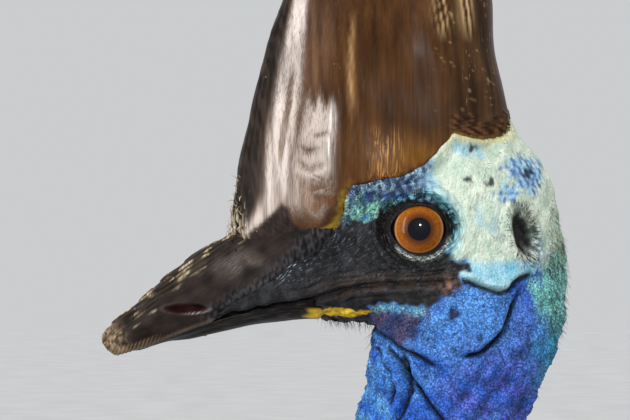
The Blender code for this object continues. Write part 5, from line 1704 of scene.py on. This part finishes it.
# Sections of the leg: behind the hips, above the floor, half width and half depth
DRUMSTICK = [
    (0.025, 0.770, 0.054, 0.090), (0.033, 0.690, 0.062, 0.100), (0.062, 0.610, 0.060, 0.090),
    (0.098, 0.540, 0.051, 0.072), (0.128, 0.482, 0.042, 0.054), (0.150, 0.440, 0.034, 0.041),
]
LEG = [
    (0.140, 0.474, 0.023, 0.027), (0.158, 0.430, 0.024, 0.029), (0.172, 0.395, 0.029, 0.033),
    (0.176, 0.365, 0.031, 0.035), (0.170, 0.335, 0.027, 0.030), (0.163, 0.312, 0.024, 0.0264),
    (0.140, 0.196, 0.021, 0.0231), (0.121, 0.095, 0.0232, 0.0256), (0.115, 0.062, 0.029, 0.028),
    (0.106, 0.038, 0.035, 0.035), (0.101, 0.014, 0.037, 0.037),
]
TOES = {
    # turn of the toe and of its claw, length, half width, plates, the claw's length and rise
    "middle": (-2, -2, 0.122, 0.0180, 7, 0.052, 0.004),
    "outer": (40, 34, 0.085, 0.0155, 5, 0.040, 0.004),
    "inner": (-42, -16, 0.066, 0.0150, 4, 0.112, 0.008),
}
TOE_ROOT = 0.027
LEG_SCUTES = 22
FLOOR = -EYE_HEIGHT


def leg_point(back, up, side, step):
    """A point of a leg, whose foot stands a step ahead of or behind the hip."""
    share = min(max((0.80 - up) / 0.80, 0), 1)
    return from_hips(back + step * share, up, side * STANCE_HALF_WIDTH)


def overlapping(t, count, edge=0.30):
    """A saw of plates: each rises to its lower edge and drops to the next."""
    phase = (t * count) % 1
    return phase ** 0.7 * smoothstep(1.0, 1 - edge, phase)


def leg_pieces(label, side):
    """Points of a leg's shaft with its plates, of its toes and of its claws."""
    step = STEPS[label]
    rows = curve([(*leg_point(b, u, side, step), w, d) for b, u, w, d in LEG], 210)
    up = (rows[:, 2] + EYE_HEIGHT) / 1000

    def plates(t, angle):
        front = np.maximum(np.sin(angle), 0) ** 0.6
        height = np.interp(t[:, 0], np.linspace(0, 1, len(up)), up)[:, None]
        where = smoothstep(0.335, 0.310, height) * smoothstep(0.060, 0.075, height)
        count = overlapping((0.335 - height) / 0.265, LEG_SCUTES)
        hock = 0.8 * smoothstep(0.30, 0.35, height) * smoothstep(0.44, 0.39, height)
        hock = hock * np.sin(height * 900 + 3 * np.cos(angle))
        return front * where * count * 2.0 + hock * 0.5

    shaft = tube(rows[:, :3], rows[:, 3:5] * 1000, (1, 0, 0), 56, plates, FLOOR)
    toes, claws = [], []
    heel = leg_point(0.101, 0.0, side, step)
    for name, (turn, claw_turn, length, half_width, scutes, claw_length, claw_rise) in TOES.items():
        # A toe lies on the floor, narrows to its tip and swells at its joints
        ahead, over = toe_heading(side * turn)
        root = heel + ahead * TOE_ROOT * 1000
        t = np.linspace(-0.22, 1.0, 92)
        half_high = half_width * (0.98 - 0.36 * np.maximum(t, 0))
        joints = 1 + 0.09 * np.sin(3 * math.pi * np.maximum(t, 0)) + 0.05 * np.cos(6 * math.pi * t)
        close = np.sqrt(np.clip(1 - np.maximum((t - 0.90) / 0.115, 0) ** 2, 0.02, 1))
        centre = root + ahead * (length * 1000 * t)[:, None]
        centre[:, 2] += half_high * 920 - 3.0 * smoothstep(0.85, 1.0, t)
        half_wide = half_width * (1 - 0.30 * np.maximum(t, 0)) * joints
        sizes = np.column_stack([half_wide * close, half_high * close]) * 1000

        def toe_plates(s, angle, count=scutes * 3):
            top = np.maximum(np.sin(angle), 0) ** 0.6
            pads = np.maximum(-np.sin(angle), 0) ** 0.5
            pads = pads * 0.8 * np.abs(np.sin(s * math.pi * count / 2.5))
            return top * overlapping(s, count) * 1.5 + pads

        toes.append(tube(centre, sizes, over, 44, toe_plates, FLOOR))
        # Its claw rises a little and comes down to the floor
        claw_ahead, claw_over = toe_heading(side * claw_turn)
        start = root + ahead * length * 900
        s = np.linspace(0, 1, 40)
        root_up = half_width * 0.62
        arch = claw_rise * np.sin(math.pi * np.minimum(s * 0.75 + 0.15, 1))
        height = root_up + arch - (root_up + claw_rise * 0.45) * s**2
        spine = start + claw_ahead * (claw_length * 1000 * s)[:, None]
        spine[:, 2] += np.maximum(height, 0.0022) * 1000
        thin = (half_width * 0.46 * (1 - s) ** 0.75 + 0.0004) * 1000
        claws.append(tube(spine, np.column_stack([thin * 0.82, thin]), claw_over, 20, None, FLOOR))
    return shaft, toes, claws


def toe_heading(turn):
    """The way ahead and the way across of a toe that is turned out by some degrees."""
    turn = math.radians(turn)
    ahead = np.array([math.sin(turn), -math.cos(turn), 0])
    return ahead, np.array([-ahead[1], ahead[0], 0])


LEG_TONES = {"scales": ((112, 106, 92), (150, 142, 124)), "foot": ((92, 88, 82),)}


def leg_paint(points):
    """The colour of each point of the legs and toes."""
    share = 0.5 + 0.4 * wobble(points, 60.0, 111) + 0.3 * wobble(points, 9.0, 112)
    paint = Paint(LEG_TONES, "scales", share)
    paint.lay("foot", smoothstep(120, 0, points[:, 2] + EYE_HEIGHT) * 0.5)
    return paint.colour


leg_skin = scale_material()
claw_horn = plain_material(
    "claw_horn", srgb(34, 30, 28), srgb(74, 66, 58), 0.34, 140.0, 5.0, 0.35, 0.0006)
for label, side in SIDES:
    shaft, toes, claws = leg_pieces(label, side)
    leg = Shape()
    for grid in (shaft, *toes):
        normals = grid_normals(grid).reshape(-1, 3)
        facing = -normals[:, 1] if grid is shaft else normals[:, 2]
        plate = smoothstep(0.15, 0.5, facing)
        closed_tube(leg, grid, paint=leg_paint(grid.reshape(-1, 3)), grain=plate)
    piece = leg.build(f"leg_skin_{label}", leg_skin)
    toe_nodes = (f"toe_{name}_{label}" for name in TOES)
    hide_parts(f"shank_{label}", f"tarsus_{label}", *toe_nodes)
    nails = Shape()
    for grid in claws:
        closed_tube(nails, grid)
    piece = nails.build(f"claws_{label}", claw_horn)
    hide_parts(*(f"claw_{name}_{label}" for name in TOES))


# Feathered thighs

def thigh(label, side):
    """Points of a drumstick."""
    step = STEPS[label]
    rows = curve([(*leg_point(b, u, side, step), w, d) for b, u, w, d in DRUMSTICK], 40)
    return tube(rows[:, :3], rows[:, 3:5] * 1000, (1, 0, 0), 40)


for label, side in SIDES:
    grid = thigh(label, side)
    tree = grid_tree(grid, outward_quads(grid))
    inner = mix(grid.mean(axis=1, keepdims=True), grid, 0.97)
    coat = Shape()
    rng = np.random.default_rng(17 + side)
    row_index = np.repeat(np.arange(2, 38, 2), 20)
    round_index = np.tile(np.arange(20) * 2, 18)
    tufts = []
    for i, k in zip(row_index, round_index):
        long = np.interp(i, (0, 20, 38), (120, 105, 52)) * rng.uniform(0.85, 1.15)
        tufts.append((grid[i, k], long, 13.0, rng.uniform(-0.2, 0.2)))
    uv = np.column_stack([0.02 + 0.96 * row_index / 40, 0.02 + 0.96 * round_index / 40])
    paths, spread = guide_paths(tree, tufts, 7), np.full(len(uv), 5.0)
    strands(coat, *paths, uv, THIGH_STRANDS, spread, SHORT_THICKNESS, rng, curl=0.05)
    piece = coat.build(f"plumage_thigh_{label}", plume)
    core = Shape()
    closed_tube(core, inner, paint=np.tile(srgb(16, 15, 17), (inner[..., 0].size, 1)))
    core.build(f"thigh_skin_{label}", plume)
    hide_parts(f"drumstick_{label}")


# Wattles

def wattle_grid(side):
    """Points of a hanging, beaded and folded wattle."""
    t = np.linspace(0, 1, 96)
    forward = -38.0 - 22.0 * np.sin(np.minimum(t * 2.6, 1.0) * math.pi / 2) + 3.0 * t
    points = np.column_stack([side * (15.5 + 7.5 * t), forward, -176.0 - 152.0 * t])
    bulb = 1 + 0.13 * np.cos(FULL_TURN * 4 * t)
    width = (8.5 + 7.5 * np.sin(math.pi * np.minimum(t * 1.12, 1.0) ** 1.5)) * bulb
    close = np.sqrt(np.clip(1 - np.maximum((t - 0.84) / 0.165, 0) ** 2, 0.03, 1))
    grid = tube(points, np.column_stack([width * close, width * 0.72 * close]), (1, 0, 0), 64)
    flat = grid.reshape(-1, 3)
    angle = np.tile(round_turn(64), len(t))
    folds = np.sin(angle * 5 + wobble(flat, 40.0, 121) * 2.5) * 0.7 + wobble(flat, 9.0, 122) * 0.5
    return raised(grid, folds)


for label, side in SIDES:
    grid = wattle_grid(side)
    flat = grid.reshape(-1, 3)
    share = unit(0.5 + 0.5 * wobble(flat, 16.0, 123))[:, None]
    looks = {"paint": mix(srgb(150, 22, 30), srgb(206, 52, 52), share)}
    for name, value in (("grain", 0.9), ("mottle", 0.35), ("stipple", 0.0), ("stroke", 0.0)):
        looks[name] = np.full(len(flat), value)
    lobe = Shape()
    closed_tube(lobe, grid, **looks)
    piece = lobe.build(f"wattle_skin_{label}", bare_skin)
    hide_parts(f"wattle_{label}")


# Wings: a short stub among the feathers and its bare quills

quill_horn = plain_material(
    "quill_horn", srgb(16, 14, 14), srgb(58, 50, 46), 0.30, 90.0, 4.0, 0.3, 0.0005, (1, 1, 0.1))


def on_coat(side, back, up, out):
    """The point that lies a way out, in metres, from the body's side."""
    spot = from_hips(back, up)
    start = Vector((side * 600, spot[1], spot[2]))
    hit, normal, _, _ = coat_tree.ray_cast(start, Vector((-side, 0, 0)))
    return np.array(tuple(hit + normal * out * 1000))


QUILLS, WING_CLEAR = 5, 0.052
WING_STUB = [
    # back, up, out, half width and half depth
    (-0.148, 0.946, -0.014, 24, 30), (-0.142, 0.915, 0.008, 24, 32), (-0.126, 0.880, 0.032, 18, 30),
    (-0.104, 0.840, WING_CLEAR, 10, 26), (-0.092, 0.820, WING_CLEAR, 5, 20),
]
for label, side in SIDES:
    rows = curve([(*on_coat(side, *knot[:3]), *knot[3:]) for knot in WING_STUB], 36)
    stub = tube(rows[:, :3], rows[:, 3:5], (1, 0, 0), 28)
    bare = Shape()
    count = stub[..., 0].size
    closed_tube(bare, stub, tint=np.full(count, 0.1), tip=np.zeros(count))
    bare.build(f"wing_skin_{label}", plume)
    wing = Shape()
    for fan in np.linspace(0, 1, QUILLS):
        knots = []
        for t in np.linspace(0, 1, 6):
            back = -0.118 + 0.030 * fan + (0.070 + 0.115 * fan) * t**1.25
            up = 0.846 - (0.235 - 0.075 * fan) * t
            out = WING_CLEAR + 0.004 * math.sin(math.pi * t)
            knots.append((*on_coat(side, back, up, out), 3.4 * (1 - 0.84 * t)))
        rows = curve(knots, 40)
        closed_tube(wing, tube(rows[:, :3], rows[:, [3, 3]], (1, 0, 0), 10))
    piece = wing.build(f"wing_quills_{label}", quill_horn)
    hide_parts(f"wing_{label}")
    coat = Shape()
    tuft_rng = np.random.default_rng(27 + side)
    tufts = [
        (root, tuft_rng.uniform(60, 95), 8.0, tuft_rng.uniform(-0.2, 0.2))
        for root in stub[0:35:2, 0:28:3].reshape(-1, 3)
    ]
    uv = tuft_rng.uniform(0.02, 0.98, (len(tufts), 2))
    paths = guide_paths(grid_tree(stub, outward_quads(stub)), tufts, 6)
    spread = np.full(len(uv), 4.0)
    strands(coat, *paths, uv, WING_STRANDS, spread, SHORT_THICKNESS, tuft_rng, curl=0.05)
    coat.build(f"plumage_wing_{label}", plume)


# Bristles of the face

def bristles(piece, roots, ways, lengths, radius, rng, bend=0.25):
    """Fine curved hairs from points of the skin."""
    total, rings = len(roots), 4
    ways = ways / np.linalg.norm(ways, axis=1, keepdims=True)
    side = np.cross(ways, rng.normal(size=(total, 3)))
    side /= np.linalg.norm(side, axis=1, keepdims=True)
    up = np.cross(side, ways)
    s = np.linspace(-0.12, 1, rings + 1)
    centre = roots[:, None] + ways[:, None] * (lengths[:, None] * s)[..., None]
    bent = lengths[:, None] * bend * np.maximum(s, 0) ** 2 * rng.normal(size=(total, 1))
    centre = centre + side[:, None] * bent[..., None]
    size = radius * np.array([1.0, 1.0, 0.8, 0.5, 0.1])[None] * rng.uniform(0.7, 1.2, (total, 1))
    tint = unit(rng.normal(0.3, 0.25, total))
    prisms(piece, centre, side[:, None], up[:, None], size, tint)


def on_face(spots, side):
    """Points and ways out of the skin at spots of the side view."""
    points, normals, kept = [], [], []
    for i, (u, w) in enumerate(spots):
        hit, normal, _, _ = face_tree.ray_cast(Vector((side * 90, u, w)), Vector((-side, 0, 0)))
        if hit is None or hit.x * side < 2:
            continue
        normal = normal if normal.x * side > 0 else -normal
        points.append(tuple(hit))
        normals.append(tuple(normal))
        kept.append(i)
    return np.array(points), np.array(normals), np.array(kept, int)


def scattered(outline, count, rng):
    """Random spots inside an outline, no more than count."""
    outline = np.array(outline, float)
    spots = rng.uniform(outline.min(axis=0), outline.max(axis=0), (count * 4, 2))
    return spots[inside(spots, outline) > 0][:count]


BRISTLE_FIELDS = [
    # outline, count, length, way in the side view, how far they stand out
    ([(-30, 14), (-28, 18.5), (-18, 20.5), (-6, 22.5), (4, 28), (6, 27), (-2, 19.5), (-14, 16),
      (-27, 13)], 420, 3.6, (-0.15, 0.9), 0.22),
    ([(-56, -8), (-30, 10), (-16, 8), (-16, -10), (-30, -14), (-50, -20)],
     260, 2.2, (0.5, 0.2), 0.35),
    ([(-44, -37), (-20, -39), (-18, -48), (-22, -50), (-34, -40)], 170, 4.5, (0.3, -0.9), 0.5),
    ([(56, 10), (66, 4), (68, -40), (58, -52), (54, -20)], 420, 3.0, (0.3, -0.9), 0.35),
    ([(16, 14), (30, 36), (60, 20), (62, -20), (40, -20)], 120, 1.6, (0.3, -0.7), 0.3),
    ([(-22, -50), (60, -40), (50, -90), (20, -170), (-42, -170)], 380, 2.4, (0.3, -0.9), 0.3),
]
EAR_BRISTLES, LASHES, FLAKES = 420, 150, 70
FACE_RADIUS, EAR_RADIUS, LASH_RADIUS, FLAKE_RADIUS, SPIKE_RADIUS = 0.085, 0.075, 0.12, 0.24, 0.75

face_hair = Shape()
hair_rng = np.random.default_rng(77)
for outline, count, length, way, stand in BRISTLE_FIELDS:
    for _, side in SIDES:
        spots = scattered(outline, count, hair_rng)
        points, normals, kept = on_face(spots, side)
        ways = normals * stand + (0, *way) + hair_rng.normal(size=points.shape) * 0.25
        lengths = length * hair_rng.uniform(0.6, 1.4, len(points))
        bristles(face_hair, points, ways, lengths, FACE_RADIUS, hair_rng)
for _, side in SIDES:
    turn = hair_rng.uniform(0, FULL_TURN, EAR_BRISTLES)
    out = hair_rng.uniform(0.75, 1.35, len(turn))
    ring = np.column_stack([np.cos(turn) * out, np.sin(turn) * out])
    spots = EAR + ring * EAR_HOLLOW @ EAR_TURN.T
    points, normals, kept = on_face(spots, side)
    inward = np.column_stack([np.zeros(len(kept)), (EAR - spots[kept]) * (1.0, 0.45)])
    inward /= np.linalg.norm(inward, axis=1, keepdims=True) + 1e-6
    ways = normals * 0.45 + inward * -0.75 + hair_rng.normal(size=points.shape) * 0.12
    lengths = hair_rng.uniform(2.0, 4.2, len(kept))
    bristles(face_hair, points, ways, lengths, EAR_RADIUS, hair_rng)
for _, side in SIDES:
    turn = np.sort(hair_rng.uniform(math.radians(5), math.radians(185), LASHES))
    radius = hair_rng.uniform(12.2, 16.0, len(turn))
    spots = np.column_stack([radius * np.cos(turn), radius * np.sin(turn)])
    x = np.interp(radius, (12.0, 16.5), (26.6, 28.0))
    ways = [np.full(len(turn), 0.75 * side), np.cos(turn) * 0.8, np.sin(turn) * 0.8 + 0.15]
    ways = np.column_stack(ways)
    roots_at = np.column_stack([side * x, spots])
    lengths = hair_rng.uniform(3.5, 7.0, len(turn))
    bristles(face_hair, roots_at, ways, lengths, LASH_RADIUS, hair_rng, 0.35)
face_hair.build("face_bristles", plume)

# Flakes that peel off the front of the casque's foot
flakes = Shape()
ways_out = grid_normals(carved).reshape(-1, 3)
horn_points = carved.reshape(-1, 3)
_, u, w = horn_points.T
peeling = np.flatnonzero((u + 0.25 * w < -69) & (w < 22) & (w > -4))
chosen = hair_rng.choice(peeling, FLAKES)
ways = ways_out[chosen] * 0.35 + (0, -0.10, 0.85) + hair_rng.normal(size=(FLAKES, 3)) * 0.35
lengths = hair_rng.uniform(1.2, 4.2, FLAKES)
bristles(flakes, horn_points[chosen], ways, lengths, FLAKE_RADIUS, hair_rng, 0.6)
spikes = np.array([(0.8, -81.6, -4.8), (-0.6, -80.6, -3.6), (2.0, -71.5, 12.0), (2.2, -71.0, 11.0)])
spike_ways = np.array([(0.05, -0.05, 1.0), (-0.1, 0.1, 1.0), (0.2, -0.75, 0.8), (0.3, -0.4, 0.9)])
lengths = np.array([9.4, 5.0, 7.0, 5.0])
bristles(flakes, spikes, spike_ways, lengths, SPIKE_RADIUS, hair_rng, 0.3)
flake_horn = plain_material("flaked_horn", srgb(128, 110, 86), srgb(206, 192, 166), 0.55, 900.0)
flakes.build("casque_flakes", flake_horn)


# Floor, light and camera

FLOOR_SIZE = 80
SKY_COLOUR, SKY_STRENGTH = (0.96, 0.98, 1.0, 1), 0.62
SUN_WAY, SUN_STRENGTH, SUN_ANGLE = (-0.75, 0.42, -1.0), 1.5, math.radians(12)
LAMPS = [
    # name, place, what it shines at, width and height in metres, watts
    ("key", (1700, 150, 420), (0, 0, 0), (0.13, 0.13), 15),
    ("front", (1200, -1900, 500), (0, -50, 40), (1.0, 1.6), 6),
    ("front_strip", (640, -1290, 330), (15, -57, 45), (0.16, 1.5), 8),
    ("back", (-1300, 900, 1300), (0, 0, 0), (1.2, 1.2), 12),
]
# The photograph's field of view: its middle and width beside the eye, the lens and its sensor
FRAME_CENTRE, FRAME_WIDTH, LENS, SENSOR = (-43.99, 8.08), 267.75, 205.0, 36.0
CAMERA_DISTANCE = LENS / SENSOR * FRAME_WIDTH + 20.0
scene = bpy.context.scene

floor_material = plain_material("studio_floor", (0.60, 0.60, 0.60), (0.66, 0.66, 0.66), 0.75, 3.0)
bpy.ops.mesh.primitive_plane_add(size=FLOOR_SIZE, location=(0, 0, 0))
floor = bpy.context.object
floor.name = "studio_floor"
floor.data.materials.append(floor_material)

world = bpy.data.worlds.new("studio")
world.use_nodes = True
set_inputs(world.node_tree.nodes["Background"], Color=SKY_COLOUR, Strength=SKY_STRENGTH)
scene.world = world


def placed(name, data, turn):
    """A light or camera in the scene."""
    obj = bpy.data.objects.new(name, data)
    obj.rotation_euler = turn
    scene.collection.objects.link(obj)
    return obj


def turn_along(way):
    """The turn of a lamp that shines along a way."""
    return Vector(way).to_track_quat("-Z", "Y").to_euler()


sun_data = bpy.data.lights.new("sun", "SUN")
sun_data.energy, sun_data.angle = SUN_STRENGTH, SUN_ANGLE
placed("sun", sun_data, turn_along(SUN_WAY)).visible_glossy = False
for name, spot, target, size, watts in LAMPS:
    data = bpy.data.lights.new(name, "AREA")
    data.shape = "RECTANGLE"
    data.size, data.size_y = size
    data.energy = watts
    placed(name, data, turn_along(to_row(target) - to_row(spot))).location = to_row(spot)

camera_data = bpy.data.cameras.new("camera")
camera_data.lens, camera_data.sensor_width = LENS, SENSOR
camera_data.clip_start, camera_data.clip_end = 0.05, 200.0
camera = placed("camera", camera_data, (math.radians(90), 0, math.radians(90)))
camera.location = to_row((CAMERA_DISTANCE, *FRAME_CENTRE))
scene.camera = camera
scene.view_settings.view_transform = "Standard"
